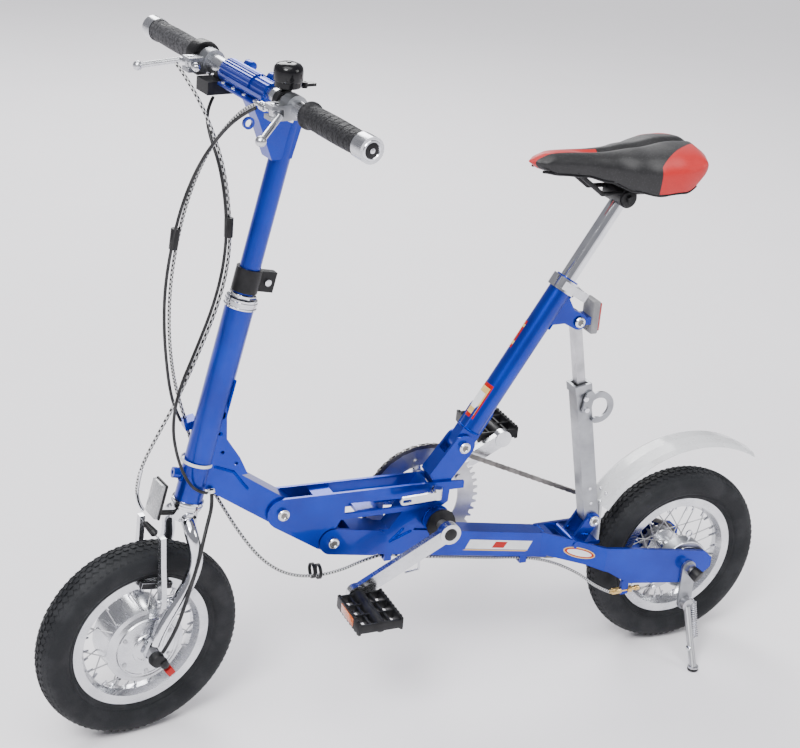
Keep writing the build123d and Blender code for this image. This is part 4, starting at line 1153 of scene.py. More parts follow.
@dataclass
class Saddle:
    """The cushion: a crowned cover over foam with a middle channel, piping and a dark base."""

    length: float = 286.0
    nose: Vector = field(default_factory=lambda: Vector((-362.0, 0.0, 811.0)))
    widths: list[tuple[float, float]] = field(default_factory=lambda: [
        (0.0, 10.0), (0.04, 18.0), (0.12, 22.0), (0.3, 27.0), (0.45, 38.0), (0.58, 56.0), (0.7, 72.0),
        (0.8, 79.5), (0.9, 79.0),
        (0.96, 70.0), (1.0, 54.0),
    ])
    tops: list[tuple[float, float]] = field(default_factory=lambda: [
        (0.0, 60.0), (0.05, 65.0), (0.15, 67.5), (0.4, 67.0), (0.6, 72.0), (0.8, 80.0), (0.92, 79.0),
        (1.0, 72.0),
    ])
    bottoms: list[tuple[float, float]] = field(default_factory=lambda: [
        (0.0, 46.0), (0.06, 38.0), (0.16, 34.0), (0.3, 31.0), (0.42, 24.0), (0.55, 12.0), (0.66, 8.0),
        (0.8, 14.0), (0.92, 34.0),
        (1.0, 54.0),
    ])

    @staticmethod
    def value(table: list[tuple[float, float]], share: float) -> float:
        """Read a table smoothly at a share of the length.

        Args:
            table: Pairs of a share and a value, in order.
            share: The share of the length.

        Returns:
            The value there.
        """
        for (a, low), (b, high) in zip(table, table[1:]):
            if share <= b:
                t = (share - a) / (b - a)
                return low + (high - low) * t * t * (3 - 2 * t)
        return table[-1][1]

    def build(self) -> None:
        """Make the cover, its piping and the saddle clamp's bolt."""
        self.make_cover()
        self.make_base()
        self.make_clamp()

    def place(self, share: float, across: float, up: float) -> Vector:
        """Return a point of the cover.

        Args:
            share: The share of the length, from the nose.
            across: The share of the half width, from -1 to 1.
            up: From -1 at the base to 1 at the top.

        Returns:
            The point in millimetres.
        """
        half = self.value(self.widths, share)
        top, low = self.value(self.tops, share), self.value(self.bottoms, share)
        y = half * across * math.sqrt(max(0.0, 1 - (0.42 if up > 0 else 0.12) * up * up))
        rise = up * math.sqrt(max(0.0, 1 - 0.52 * across * across)) if up > 0 else up
        hollow = max(0.0, 40.0 - low) * max(0.0, -up) * max(0.0, 1 - abs(across)) ** 0.35
        z = low + (top - low) * (rise + 1) / 2 + hollow
        channel = math.exp(-(across * half / 9.0) ** 2) * max(0.0, up)
        reach = max(0.0, min(1.0, (share - 0.22) / 0.12)) * max(0.0, min(1.0, (0.97 - share) / 0.08))
        return self.nose + Vector((self.length * share, y, z - (4.5 + 5.0 * share) * channel * reach))

    def make_cover(self) -> None:
        """Shape a divided block into the cushion."""
        bm = bmesh.new()
        bmesh.ops.create_cube(bm, size=2.0)
        bmesh.ops.subdivide_edges(bm, edges=bm.edges, cuts=31, use_grid_fill=True)
        for v in bm.verts:
            a, b, c = v.co
            share = (a * math.sqrt(max(0.0, 1 - 0.30 * b * b - 0.30 * c * c + 0.12 * b * b * c * c)) + 1) / 2
            v.co = self.place(share, b, c)
        bmesh.ops.smooth_vert(
            bm, verts=bm.verts, factor=0.5, use_axis_x=True, use_axis_y=True, use_axis_z=True,
        )
        cover = BENCH.add(
            "saddle_cover", bm,
            SaddleCover("saddle_vinyl", (self.nose.x + 160.0 + ORIGIN.x) / 1000, ORIGIN.y / 1000), "post",
            Slot.SADDLE, replaces=("saddle",), sharp=80.0,
        )
        level = cover.modifiers.new("rounding", "SUBSURF")
        level.levels = 1
        level.render_levels = 1

    def make_base(self) -> None:
        """Add the piping round the cushion's lower edge."""
        bm = bmesh.new()
        steps = 44
        for i in range(steps):
            for hand in (-1, 1):
                here, there = self.rim_point(i / steps, hand), self.rim_point((i + 1) / steps, hand)
                BENCH.rod(bm, here, there, 2.3, sides=10)
                BENCH.ball(bm, here, 2.3, detail=5)
        BENCH.add("saddle_piping", bm, GLOSS, "post", Slot.GLOSS)

    def rim_point(self, share: float, hand: int) -> Vector:
        """Find a point on the lower edge of the cushion.

        Args:
            share: How far along the edge it is.
            hand: The side, -1 near or 1 far.

        Returns:
            The point.
        """
        s = 0.06 + 0.80 * share
        half = self.value(self.widths, s) * 0.93
        low = self.value(self.bottoms, s)
        return self.nose + Vector((self.length * s, hand * half, low + 3.0))

    def make_clamp(self) -> None:
        """Add the clamp's side washers, bolt and nut."""
        bm = bmesh.new()
        top = seat_point(447.0)
        middle = Vector((top.x - 2.0, 0.0, top.z + 8.0))
        for hand in (-1, 1):
            BENCH.rod(bm, middle + Y * hand * 25.0, middle + Y * hand * 30.0, 13.5, 12.0, sides=32, soft=1.0)
            BENCH.rod(bm, middle + Y * hand * 30.0, middle + Y * hand * 36.0, 6.5, sides=6)
        BENCH.add("saddle_clamp_bolt", bm, PLASTIC, "post", Slot.PLASTIC)


@dataclass
class Cockpit:
    """Grips, lever hardware, bell and throttle trim."""

    half: float = 277.6
    grip: float = 125.0
    radius: float = 16.5

    def build(self) -> None:
        """Make the cockpit's pieces."""
        self.make_grip("left", -1, GRIP, "steering")
        self.make_grip("right", 1, Hatch("throttle_rubber", (0.02, 0.02, 0.022), 300.0, 0.0009), "throttle")
        self.make_lever_hardware()
        self.make_switches()
        self.make_bell()
        self.make_bar_ends()
        self.make_sleeve()
        self.make_clamp_bolts()

    def make_grip(self, side: str, hand: int, finish: Hatch, body: str) -> None:
        """Spin one grip with its flange, finger swell and end ring.

        Args:
            side: The side's name.
            hand: The side, -1 near or 1 far.
            finish: The finish that it wears.
            body: The CAD body that it rides on.
        """
        bm = bmesh.new()
        start = self.half - self.grip
        profile = [
            (11.3, start + 0.3), (17.6, start + 0.3), (18.3, start + 1.4), (18.3, start + 4.4),
            (17.4, start + 5.6),
        ]
        for i in range(9):
            y = start + 9.0 + i * 12.3
            swell = 0.7 * math.sin(math.pi * i / 8)
            profile += [(15.2 + swell, y), (15.2 + swell, y + 10.2), (14.4 + swell, y + 11.0)]
        profile += [(16.4, self.half - 4.5), (16.4, self.half - 0.8), (11.3, self.half - 0.8)]
        BENCH.lathe(bm, [(r, hand * y) for r, y in profile], Vector((BAR.x, 0.0, BAR.z)), Y, 48, closed=True)
        BENCH.add(f"grip_{side}_ribbed", bm, finish, body, Slot.GRIP, True, (f"grip_{side}",))

    def make_lever_hardware(self) -> None:
        """Add each lever's cable adjuster, pivot screw and clamp screw."""
        bm = bmesh.new()
        for hand in (-1, 1):
            start = bar_point(30.0, hand * 107.0, -4.0)
            end = bar_point(36.0, hand * 84.0, -2.0)
            BENCH.rod(bm, start, end, 3.3, sides=16, soft=0.4)
            for share in (0.35, 0.55):
                place = start.lerp(end, share)
                BENCH.rod(bm, place, place + (end - start).normalized() * 4.0, 5.8, sides=14, soft=0.5)
            pivot = bar_point(30.0, hand * 118.0, -4.0)
            BENCH.rod(bm, pivot + Z * 9.0, pivot + Z * 11.4, 5.0, sides=20, soft=0.7)
            BENCH.rod(bm, pivot - Z * 9.0, pivot - Z * 11.4, 5.0, sides=6)
            BENCH.rod(
                bm, bar_point(2.0, hand * 113.0, -15.0), bar_point(4.0, hand * 113.0, -20.0), 4.2, sides=16,
                soft=0.6,
            )
        BENCH.add("lever_hardware", bm, CHROME, "steering", Slot.CHROME, True)

    def make_switches(self) -> None:
        """Add the throttle's collar and the block under it, and the switch box's buttons."""
        bm = bmesh.new()
        for i in range(3):
            BENCH.block(bm, bar_point(-2.0 + 10.0 * i, 84.0, -35.6), (6.0, 14.0, 2.4), None, 0.6)
        centre = Vector((BAR.x, 0.0, BAR.z))
        BENCH.lathe(
            bm, [(19.0, 128.6), (21.4, 129.4), (21.8, 133.0), (21.0, 150.0), (19.0, 152.2)], centre, Y, 40,
        )
        BENCH.block(bm, bar_point(4.0, 140.0, -21.0), (18.0, 20.0, 9.0), None, 1.6)
        BENCH.add("throttle_trim", bm, PLASTIC, "steering", Slot.PLASTIC, True)

    def make_bell(self) -> None:
        """Spin the bell's tall cup, with its band and cap screw."""
        bm = bmesh.new()
        foot = bar_point(-4.0, -88.0, 18.0)
        profile = [
            (8.0, 0.0), (16.5, 0.4), (17.4, 1.4), (17.4, 8.0), (18.6, 8.6), (19.2, 9.8), (19.2, 22.0),
            (18.4, 26.0), (15.6, 29.4),
            (10.0, 31.4), (0.01, 32.0),
        ]
        BENCH.lathe(bm, profile, foot, Z, 56)
        BENCH.rod(bm, foot + Z * 31.0, foot + Z * 33.0, 3.2, sides=20, soft=0.8)
        BENCH.add("bell_cup", bm, GLOSS, "steering", Slot.GLOSS, True, ("bell",))
        bm = bmesh.new()
        BENCH.lathe(
            bm, [(12.0, -6.0), (14.6, -5.4), (14.6, 5.4), (12.0, 6.0)], Vector((BAR.x, -88.0, BAR.z)), Y, 36,
        )
        BENCH.rod(bm, foot - Z * 6.0, foot, 6.0, sides=20)
        BENCH.add("bell_band", bm, PLASTIC, "steering", Slot.PLASTIC, True)

    def make_bar_ends(self) -> None:
        """Add the chrome rim and centre dome of each bar end, with a dark disc inside the rim as painted
        shade for its recess.
        """
        dark, bright = bmesh.new(), bmesh.new()
        for hand in (-1, 1):
            face = Vector((BAR.x, hand * 300.0, BAR.z))
            # A flat gloss-black disc inside each rim: painted shade standing in for the bar end's hollow.
            BENCH.lathe(dark, [(0.01, hand * 0.1), (9.0, hand * 0.3), (9.8, hand * 0.1)], face, Y, 36)
            BENCH.lathe(bright, [(3.4, hand * 0.2), (3.4, hand * 1.6), (0.01, hand * 2.2)], face, Y, 20)
            BENCH.lathe(
                bright, [(9.6, 0.0), (10.4, hand * 1.2), (12.4, hand * 1.0), (13.4, -hand * 0.4)], face, Y,
                40,
            )
        BENCH.add("bar_end_painted_shade", dark, GLOSS, "steering", Slot.GLOSS, True)
        BENCH.add("bar_end_rims", bright, CHROME, "steering", Slot.CHROME, True)

    def make_sleeve(self) -> None:
        """Extrude the fluted bar clamp in two stages, with its flange and lugs."""
        bm = bmesh.new()
        for low, high, size, ribs in ((-59.0, 22.0, 17.4, 26), (22.0, 60.0, 15.6, 20)):
            made = bmesh.ops.create_circle(
                bm, cap_ends=False, segments=ribs * 2, radius=size,
                matrix=Matrix.Translation((BAR.x, -high, BAR.z)) @ Matrix.Rotation(math.pi / 2, 4, "X"),
            )["verts"]
            for i, v in enumerate(made):
                out = Vector((v.co.x - BAR.x, 0.0, v.co.z - BAR.z))
                v.co -= out * (0.05 if i % 2 else 0.0)
            edges = list({e for v in made for e in v.link_edges})
            grown = bmesh.ops.extrude_edge_only(bm, edges=edges)["geom"]
            far = [v for v in grown if isinstance(v, bmesh.types.BMVert)]
            bmesh.ops.translate(bm, vec=Y * (high - low), verts=far)
            bmesh.ops.contextual_create(bm, geom=far)
            bmesh.ops.contextual_create(bm, geom=made)
        for y, forward, wide in ((-34.0, -14.0, 16.0), (30.0, -14.0, 16.0)):
            BENCH.rod(
                bm, bar_point(forward, y - wide / 2, 14.0), bar_point(forward, y + wide / 2, 14.0), 6.4,
                sides=24, soft=0.8,
            )
        BENCH.block(bm, bar_point(14.0, 0.0, -15.0), (13.0, 112.0, 5.0), None, 1.6)
        BENCH.add("bar_clamp_fluted", bm, BLUE, "steering", Slot.BLUE, True, ("bar_clamp",))
        ring = bmesh.new()
        BENCH.lathe(
            ring, [(5.2, -2.2), (8.4, -2.2), (8.4, 2.2), (5.2, 2.2)], bar_point(6.0, -10.0, -52.0), Y, 32,
            closed=True,
        )
        BENCH.add("stem_loop", ring, BLUE, "steering", Slot.BLUE, True)

    def make_clamp_bolts(self) -> None:
        """Add the socket bolts of the bar clamp and the stem strap."""
        bm = bmesh.new()
        for y in (-44.0, -14.0, 16.0, 44.0):
            place = bar_point(16.0, y, -12.8)
            BENCH.rod(bm, place, place + Z * 3.0, 3.8, sides=20, soft=0.6)
            BENCH.rod(bm, place + Z * 3.0, place + Z * 3.4, 2.0, sides=6)
        strap = head(341.0, -30.0)
        BENCH.rod(bm, strap - Y * 6.0, strap - Y * 10.0, 5.2, sides=20, soft=0.7)
        BENCH.rod(bm, strap + Y * 6.0, strap + Y * 9.5, 5.2, sides=6)
        BENCH.add("cockpit_bolts", bm, CHROME, "steering", Slot.CHROME, True)


@dataclass
class FrontBrake:
    """The rim brake's pads, boot, springs and wire, and the front reflector."""

    x: float = -WHEELBASE + 16.0
    boss_y: float = 42.0
    boss_z: float = AXLE_Z + 80.0

    def build(self) -> None:
        """Make the brake's small pieces."""
        for side, hand in (("left", -1), ("right", 1)):
            body = f"{side}_brake_arm"
            bm = bmesh.new()
            place = Vector((self.x, hand * 21.0, self.boss_z + 18.0))
            BENCH.block(bm, place, (51.0, 8.6, 10.8), Matrix.Rotation(math.radians(12.0), 4, "Y"), 1.6)
            BENCH.add(f"brake_pad_{side}_rubber", bm, PLASTIC, body, Slot.PLASTIC, True)
            bm = bmesh.new()
            hub = Vector((self.x - 8.0, hand * self.boss_y, self.boss_z))
            BENCH.rod(bm, hub, hub + X * 3.6, 6.4, sides=20, soft=0.8)
            BENCH.rod(bm, place + Y * hand * 12.0, place + Y * hand * 27.0, 4.6, sides=6, soft=0.4)
            BENCH.coil(bm, hub + X * 12.6, hub + X * 17.0, 6.8, 0.75, 4)
            BENCH.rod(bm, hub + X * 14.0 + Z * 6.5, hub + X * 14.0 + Z * 62.0 - Y * hand * 6.0, 0.9, sides=8)
            BENCH.add(f"brake_{side}_hardware", bm, CHROME, body, Slot.CHROME, True)
        self.make_boot()
        self.make_reflector()

    def make_boot(self) -> None:
        """Add the bellows and inner wire between the arms' tops."""
        bm = bmesh.new()
        start = Vector((self.x, 24.0, self.boss_z + 99.0))
        profile = [(2.2, 0.0)]
        for i in range(7):
            profile += [(3.0 + i * 0.3, 3.0 + i * 4.6), (4.6 + i * 0.25, 5.0 + i * 4.6)]
        profile += [(2.0, 38.0)]
        BENCH.lathe(bm, profile, start, -Y, 24)
        BENCH.add("brake_boot", bm, PLASTIC, "steering", Slot.PLASTIC, True)
        bm = bmesh.new()
        BENCH.rod(
            bm, Vector((self.x, 33.0, self.boss_z + 99.0)), Vector((self.x, -40.0, self.boss_z + 97.0)), 0.9,
            sides=8,
        )
        BENCH.add("brake_wire", bm, STEEL, "steering", Slot.STEEL, True)

    def make_reflector(self) -> None:
        """Replace the plain reflector with a framed lens on a bracket."""
        bm = bmesh.new()
        middle = head(-1.0, 54.0)
        tilt = Matrix.Rotation(HEAD_TILT, 4, "Y")
        BENCH.block(bm, middle, (7.0, 32.0, 54.0), tilt, 2.6)
        BENCH.add("front_reflector_lens", bm, CLEAR, "steering", Slot.CLEAR, True, ("front_reflector",))
        bm = bmesh.new()
        BENCH.block(bm, head(-1.0, 49.2), (4.0, 34.0, 56.0), tilt, 1.8)
        BENCH.rod(bm, head(-24.0, 20.0), head(-24.0, 50.0), 4.0, sides=16, soft=0.6)
        BENCH.rod(bm, head(-24.0, 44.0), head(-24.0, 47.0), 6.4, sides=6)
        BENCH.add("front_reflector_bracket", bm, PLASTIC, "steering", Slot.PLASTIC, True)


@dataclass
class FrameTrim:
    """Weld beads, bolt sockets, decals, the stand's spring and small hardware on the frames."""

    fold_pivot: Vector = field(default_factory=lambda: at(-638.0, 124.0))
    arm_bolt: Vector = field(default_factory=lambda: at(-722.0, 184.0))
    seat_pivot: Vector = field(default_factory=lambda: SEAT_PIVOT.copy())
    stay_foot: Vector = field(default_factory=lambda: at(-176.0, 95.0))
    stay_top: Vector = field(default_factory=lambda: at(-249.0, 449.0))
    beam_end: Vector = field(default_factory=lambda: at(-252.0, 58.0))

    def build(self) -> None:
        """Make the trim."""
        self.make_sockets()
        self.make_headset()
        self.make_welds()
        self.make_decals()
        self.make_rear_hardware()
        self.make_rear_reflector()
        self.make_latch_trim()

    def make_sockets(self) -> None:
        """Add rims to the frame's bolt heads, with a dark hexagon in each as painted shade for its socket."""
        groups = {
            "rear_frame": ((self.fold_pivot, 26.0), (self.seat_pivot, 21.0), (self.stay_foot, 23.3)),
            "front_frame": ((self.arm_bolt, 26.3),),
            "seat": ((self.stay_top, 17.8),),
        }
        for body, places in groups.items():
            bm, dark = bmesh.new(), bmesh.new()
            for place, reach in places:
                for hand in (-1, 1):
                    BENCH.lathe(
                        bm,
                        [
                            (4.4, hand * reach), (5.2, hand * (reach + 1.2)), (7.6, hand * (reach + 0.9)),
                            (8.8, hand * (reach - 0.4)),
                        ],
                        place, Y, 32,
                    )
                    # A dark steel hexagon just below each rim: painted shade standing in for the socket's
                    # depth.
                    BENCH.rod(
                        dark, place + Y * hand * (reach - 0.5), place + Y * hand * (reach + 0.15), 4.6,
                        sides=6,
                    )
            BENCH.add(f"{body}_bolt_rims", bm, CHROME, body, Slot.CHROME)
            BENCH.add(f"{body}_bolt_socket_painted_shade", dark, DARK_STEEL, body, Slot.STEEL)

    def make_headset(self) -> None:
        """Add the stepped rings and the locknut over both headset cups."""
        bm = bmesh.new()
        for start, way in ((300.0, 1), (0.0, -1)):
            profile = [
                (20.8, 0.0), (23.4, 0.4), (23.9, 2.6), (22.4, 3.8), (22.4, 6.0), (23.6, 6.8), (23.6, 10.4),
                (21.6, 12.0), (20.0, 13.4),
            ]
            BENCH.lathe(bm, [(r, way * d) for r, d in profile], head(start), HEAD_UP, 48)
        BENCH.add("headset_rings", bm, CHROME, "front_frame", Slot.CHROME)
        bm = bmesh.new()
        BENCH.lathe(
            bm, [(15.4, 15.0), (19.6, 15.0), (20.2, 16.4), (20.2, 20.0), (18.6, 21.4), (15.4, 21.4)],
            head(300.0), HEAD_UP, 8,
        )
        BENCH.add("headset_locknut", bm, CHROME, "steering", Slot.CHROME, True)

    def bead(self, bm: bmesh.types.BMesh, points: list[Vector], size: float = 2.6) -> None:
        """Run an overlapping weld bead along points.

        Args:
            bm: The mesh that it is added to.
            points: The line that it follows.
            size: The bead's radius.
        """
        for here, there in zip(points, points[1:]):
            count = max(1, round((there - here).length / (size * 0.85)))
            for i in range(count):
                BENCH.ball(bm, here.lerp(there, i / count), size, detail=5)

    def ring(
        self, centre: Vector, axis: Vector, radius: float, start: float = 0.0, sweep: float = 360.0,
    ) -> list[Vector]:
        """Place points round an axis.

        Args:
            centre: The ring's middle.
            axis: The way that it faces.
            radius: The ring's radius.
            start: The first point's turn in degrees.
            sweep: How many degrees it covers.

        Returns:
            The points in order.
        """
        side = axis.orthogonal().normalized()
        count = 40
        return [
            centre + Matrix.Rotation(
                math.radians(start + sweep * i / count), 3, axis,
            ) @ side * radius for i in range(count + 1)
        ]

    def make_welds(self) -> None:
        """Add the weld beads of both frames and the seat tube."""
        bm = bmesh.new()
        for hand in (-1, 1):
            self.bead(bm, [head(42.0, -17.5, hand * 13.5), head(195.0, -17.5, hand * 13.5)], 2.4)
            self.bead(
                bm,
                [
                    at(-778.0, 232.0, hand * 16.2), at(-800.0, 262.0, hand * 16.2),
                    at(-830.0, 274.0, hand * 16.2),
                ],
                2.2,
            )
        self.bead(bm, self.ring(head(36.0, 21.0), HEAD_FORWARD, 8.8), 1.8)
        BENCH.add("front_frame_welds", bm, WELD, "front_frame", Slot.BLUE, sharp=80.0)
        bm = bmesh.new()
        shell = at(-465.0, 139.0)
        for hand in (-1, 1):
            self.bead(bm, self.ring(shell + Y * hand * 16.6, Y, 20.4), 2.3)
            self.bead(
                bm,
                [
                    at(-520.0, 127.0, hand * 16.0), at(-540.0, 108.0, hand * 16.2),
                    at(-505.0, 122.0, hand * 16.2),
                ],
                2.2,
            )
            self.bead(bm, [at(-204.0, 71.0, hand * 12.0), at(-184.0, 71.5, hand * 22.0)], 2.2)
        self.bead(bm, [at(-262.0, 80.0, -14.0), at(-262.0, 80.0, 14.0)], 2.4)
        BENCH.add("rear_frame_welds", bm, WELD, "rear_frame", Slot.BLUE, sharp=80.0)
        bm = bmesh.new()
        for hand in (-1, 1):
            self.bead(bm, [seat_point(224.0, 16.0, hand * 10.0), seat_point(286.0, 16.0, hand * 10.0)], 2.2)
        self.bead(bm, self.ring(seat_point(27.0), seat_point(1.0) - seat_point(0.0), 17.4), 2.0)
        BENCH.add("seat_tube_welds", bm, WELD, "seat", Slot.BLUE, sharp=80.0)

    def patch(
        self, name: str, finish: Moulded, low: float, high: float, start: float, sweep: float, lift: float,
    ) -> None:
        """Wrap a decal part of the way round the seat tube.

        Args:
            name: The decal's name.
            finish: Its finish.
            low: Its lower end up the tube.
            high: Its upper end up the tube.
            start: The angle where it starts, in degrees.
            sweep: How far round it goes, in degrees.
            lift: Its height off the tube in millimetres.
        """
        axis = (seat_point(1.0) - seat_point(0.0)).normalized()
        side = Matrix.Rotation(math.radians(start), 3, axis) @ Vector((-axis.z, 0.0, axis.x))
        bm = bmesh.new()
        ends = [bm.verts.new(seat_point(d) + side * (18.0 + lift)) for d in (low, high)]
        edge = bm.edges.new(ends)
        bmesh.ops.spin(
            bm, geom=ends + [edge], cent=seat_point(0.0), axis=axis, angle=math.radians(sweep), steps=24,
        )
        bmesh.ops.solidify(bm, geom=bm.faces, thickness=0.12)
        BENCH.add(name, bm, finish, "seat", Slot.RED if finish is DECAL_RED else Slot.GUARD)

    def make_decals(self) -> None:
        """Add plain stripes and an oval, without any lettering."""
        for name, finish, low, high, start, sweep, lift in (
            ("seat_decal_red_low", DECAL_RED, 44.0, 104.0, -50.0, 95.0, 0.15),
            ("seat_decal_gold_low", DECAL_GOLD, 50.0, 98.0, -42.0, 79.0, 0.3),
            ("seat_decal_pale_low", DECAL_PALE, 60.0, 88.0, -34.0, 63.0, 0.45),
            ("seat_decal_red_high", DECAL_RED, 168.0, 216.0, -70.0, 70.0, 0.15),
            ("seat_decal_gold_high", DECAL_GOLD, 174.0, 180.0, -70.0, 70.0, 0.3),
            ("seat_decal_gold_top", DECAL_GOLD, 205.0, 210.0, -70.0, 70.0, 0.3),
        ):
            self.patch(name, finish, low, high, start, sweep, lift)
        run = (self.beam_end - self.fold_pivot).normalized()
        up = Vector((-run.z, 0.0, run.x))
        for name, finish, start, stop, low, high, lift in (
            ("beam_decal_pale", DECAL_PALE, 236.0, 352.0, -9.0, 7.0, 0.25),
            ("beam_decal_gold", DECAL_GOLD, 232.0, 348.0, -12.0, -10.0, 0.25),
            ("beam_decal_red", DECAL_RED, 284.0, 306.0, -6.5, 4.5, 0.45),
        ):
            bm = bmesh.new()
            for hand in (-1, 1):
                base = self.fold_pivot + Y * hand * 16.0
                outline = [
                    base + run * start + up * low, base + run * stop + up * low,
                    base + run * (stop + 5) + up * high, base + run * (start + 5) + up * high,
                ]
                BENCH.plate(bm, outline, Y * hand * lift)
            BENCH.add(name, bm, finish, "rear_frame", Slot.GUARD)
        self.make_oval()

    def make_oval(self) -> None:
        """Add the oval decal on each spreading arm."""
        for name, finish, wide, tall, lift in (
            ("oval_decal_gold", DECAL_GOLD, 27.0, 9.5, 0.3), ("oval_decal_red", DECAL_RED, 25.0, 7.8, 0.5),
            ("oval_decal_pale", DECAL_PALE, 21.0, 5.8, 0.7),
        ):
            bm = bmesh.new()
            for hand in (-1, 1):
                along = Vector((102.0, hand * 40.0, -20.0)).normalized()
                out = Vector((-40.0, hand * 102.0, 0.0)).normalized()
                up = out.cross(along) * (1 if out.cross(along).z > 0 else -1)
                centre = Vector((-208.0, hand * 39.6, AXLE_Z + 50.0))
                matrix = Matrix((along, up, out)).transposed().to_4x4()
                matrix.translation = centre + out * lift
                shape = Matrix.Diagonal((wide, tall, 0.3, 1.0))
                bmesh.ops.create_cone(
                    bm, cap_ends=True, segments=40, radius1=1.0, radius2=1.0, depth=1.0,
                    matrix=matrix @ shape,
                )
            BENCH.add(name, bm, finish, "rear_frame", Slot.GUARD)

    def make_rear_hardware(self) -> None:
        """Add the stand's spring, axle cap, brass adjuster, brake wire and mudguard rivets."""
        bm = bmesh.new()
        BENCH.coil(bm, Vector((13.0, -70.0, 100.0)), Vector((7.0, -99.0, 46.0)), 4.4, 0.95, 17)
        BENCH.rod(bm, Vector((7.0, -99.0, 46.0)), Vector((-4.5, -101.0, 42.0)), 1.2, sides=8)
        BENCH.rod(bm, Vector((13.0, -70.0, 100.0)), Vector((6.0, -70.0, 108.0)), 1.2, sides=8)
        BENCH.ball(bm, Vector((-5.6, -107.0, 31.0)), 7.4, (1.0, 1.0, 0.8))
        BENCH.add("stand_spring", bm, CHROME, "kickstand", Slot.CHROME)
        bm = bmesh.new()
        BENCH.rod(bm, Vector((-8.0, -126.0, 0.4)), Vector((-8.0, -126.0, 6.0)), 9.3, 9.3, sides=32, soft=1.2)
        BENCH.add("stand_rubber", bm, PLASTIC, "kickstand", Slot.PLASTIC)
        bm = bmesh.new()
        BENCH.rod(
            bm, Vector((0.0, -70.0, AXLE_Z)), Vector((6.0, -84.0, AXLE_Z - 6.0)), 10.0, 11.5, sides=32,
            soft=2.2,
        )
        BENCH.rod(bm, Vector((0.0, 66.0, AXLE_Z)), Vector((0.0, 73.0, AXLE_Z)), 8.0, 7.0, sides=28, soft=1.5)
        BENCH.add("rear_rubber_caps", bm, PLASTIC, "rear_frame", Slot.PLASTIC)
        bm = bmesh.new()
        start = Vector((-147.0, -53.0, AXLE_Z - 26.0))
        BENCH.rod(bm, start, start + X * 54.0, 3.4, sides=20, soft=0.4)
        BENCH.rod(bm, start + X * 5.0, start + X * 20.0, 5.6, sides=14, soft=0.6)
        BENCH.rod(bm, start + X * 33.0, start + X * 40.0, 6.4, sides=6)
        BENCH.rod(bm, start + X * 48.0, start + X * 56.0, 4.6, sides=14, soft=0.6)
        BENCH.add("brass_adjuster", bm, GOLD, "rear_frame", Slot.STEEL)
        bm = bmesh.new()
        BENCH.rod(bm, start + X * 54.0, Vector((-58.0, -48.5, AXLE_Z - 34.0)), 0.9, sides=8)
        BENCH.rod(
            bm, Vector((-58.0, -51.5, AXLE_Z - 34.0)), Vector((-58.0, -47.0, AXLE_Z - 34.0)), 4.2, sides=6,
        )
        BENCH.lathe(
            bm, [(5.0, -1.4), (6.6, -1.4), (6.6, 1.4), (5.0, 1.4)], Vector((4.0, -40.0, AXLE_Z + 55.0)), Y,
            28, closed=True,
        )
        BENCH.rod(bm, Vector((4.0, -40.0, AXLE_Z + 42.0)), Vector((4.0, -40.0, AXLE_Z + 49.0)), 2.2, sides=12)
        for radius in (20.0, 31.0, 41.4):
            BENCH.lathe(
                bm,
                [(radius - 1.3, -44.6), (radius - 0.6, -45.9), (radius + 0.6, -45.9), (radius + 1.3, -44.6)],
                REAR_AXLE, Y, 64,
            )
        BENCH.add("rear_brake_hardware", bm, CHROME, "rear_frame", Slot.CHROME)
        bm = bmesh.new()
        for degrees, y in ((147.0, -9.0), (147.0, 9.0), (142.5, -9.0), (142.5, 9.0)):
            turn = math.radians(degrees)
            place = at(12.0 + 206.4 * math.cos(turn), 10.0 + 206.4 * math.sin(turn), y)
            BENCH.ball(bm, place, 3.4, (1.0, 1.0, 1.0), 8)
        BENCH.add("mudguard_rivets", bm, CHROME, "rear_frame", Slot.CHROME)
        bm = bmesh.new()
        BENCH.rod(bm, at(-520.0, 80.0, -10.0), at(-520.0, 52.0, -12.0), 2.2, sides=14)
        BENCH.rod(bm, at(-532.0, 66.0, -11.0), at(-500.0, 62.0, -11.0), 2.2, sides=14)
        BENCH.rod(bm, at(-484.0, 74.0, -10.0), at(-484.0, 48.0, -12.0), 2.0, sides=14)
        BENCH.rod(bm, at(-484.0, 48.0, -12.0), at(-508.0, 45.0, -13.0), 2.0, sides=14)
        BENCH.add("rest_wires", bm, CHROME, "rear_frame", Slot.CHROME)

    def make_rear_reflector(self) -> None:
        """Replace the plain rear reflector with a housing and a lens."""
        middle = self.stay_top + Vector((27.0, 0.0, 5.0))
        bm = bmesh.new()
        BENCH.block(bm, middle, (12.6, 34.0, 54.0), None, 3.0)
        BENCH.add("rear_reflector_housing", bm, GREY, "seat", Slot.PLASTIC, replaces=("rear_reflector",))
        bm = bmesh.new()
        BENCH.block(bm, middle + X * 8.0, (5.0, 28.0, 46.0), None, 1.8)
        BENCH.add("rear_reflector_lens", bm, RED, "seat", Slot.RED)

    def make_latch_trim(self) -> None:
        """Add the stay latch's screws and the collar's rivets."""
        bm = bmesh.new()
        run = (self.stay_top - self.stay_foot).normalized()
        for distance in (208.0, 228.0):
            place = self.stay_foot + run * distance
            BENCH.rod(bm, place - Y * 19.2, place - Y * 22.0, 4.6, sides=20, soft=0.8)
        for distance in (30.0, 58.0):
            place = self.stay_foot + run * distance
            BENCH.rod(bm, place - Y * 13.0, place - Y * 14.2, 3.0, sides=16, soft=0.4)
        BENCH.add("stay_screws", bm, CHROME, "outer_stay", Slot.CHROME)


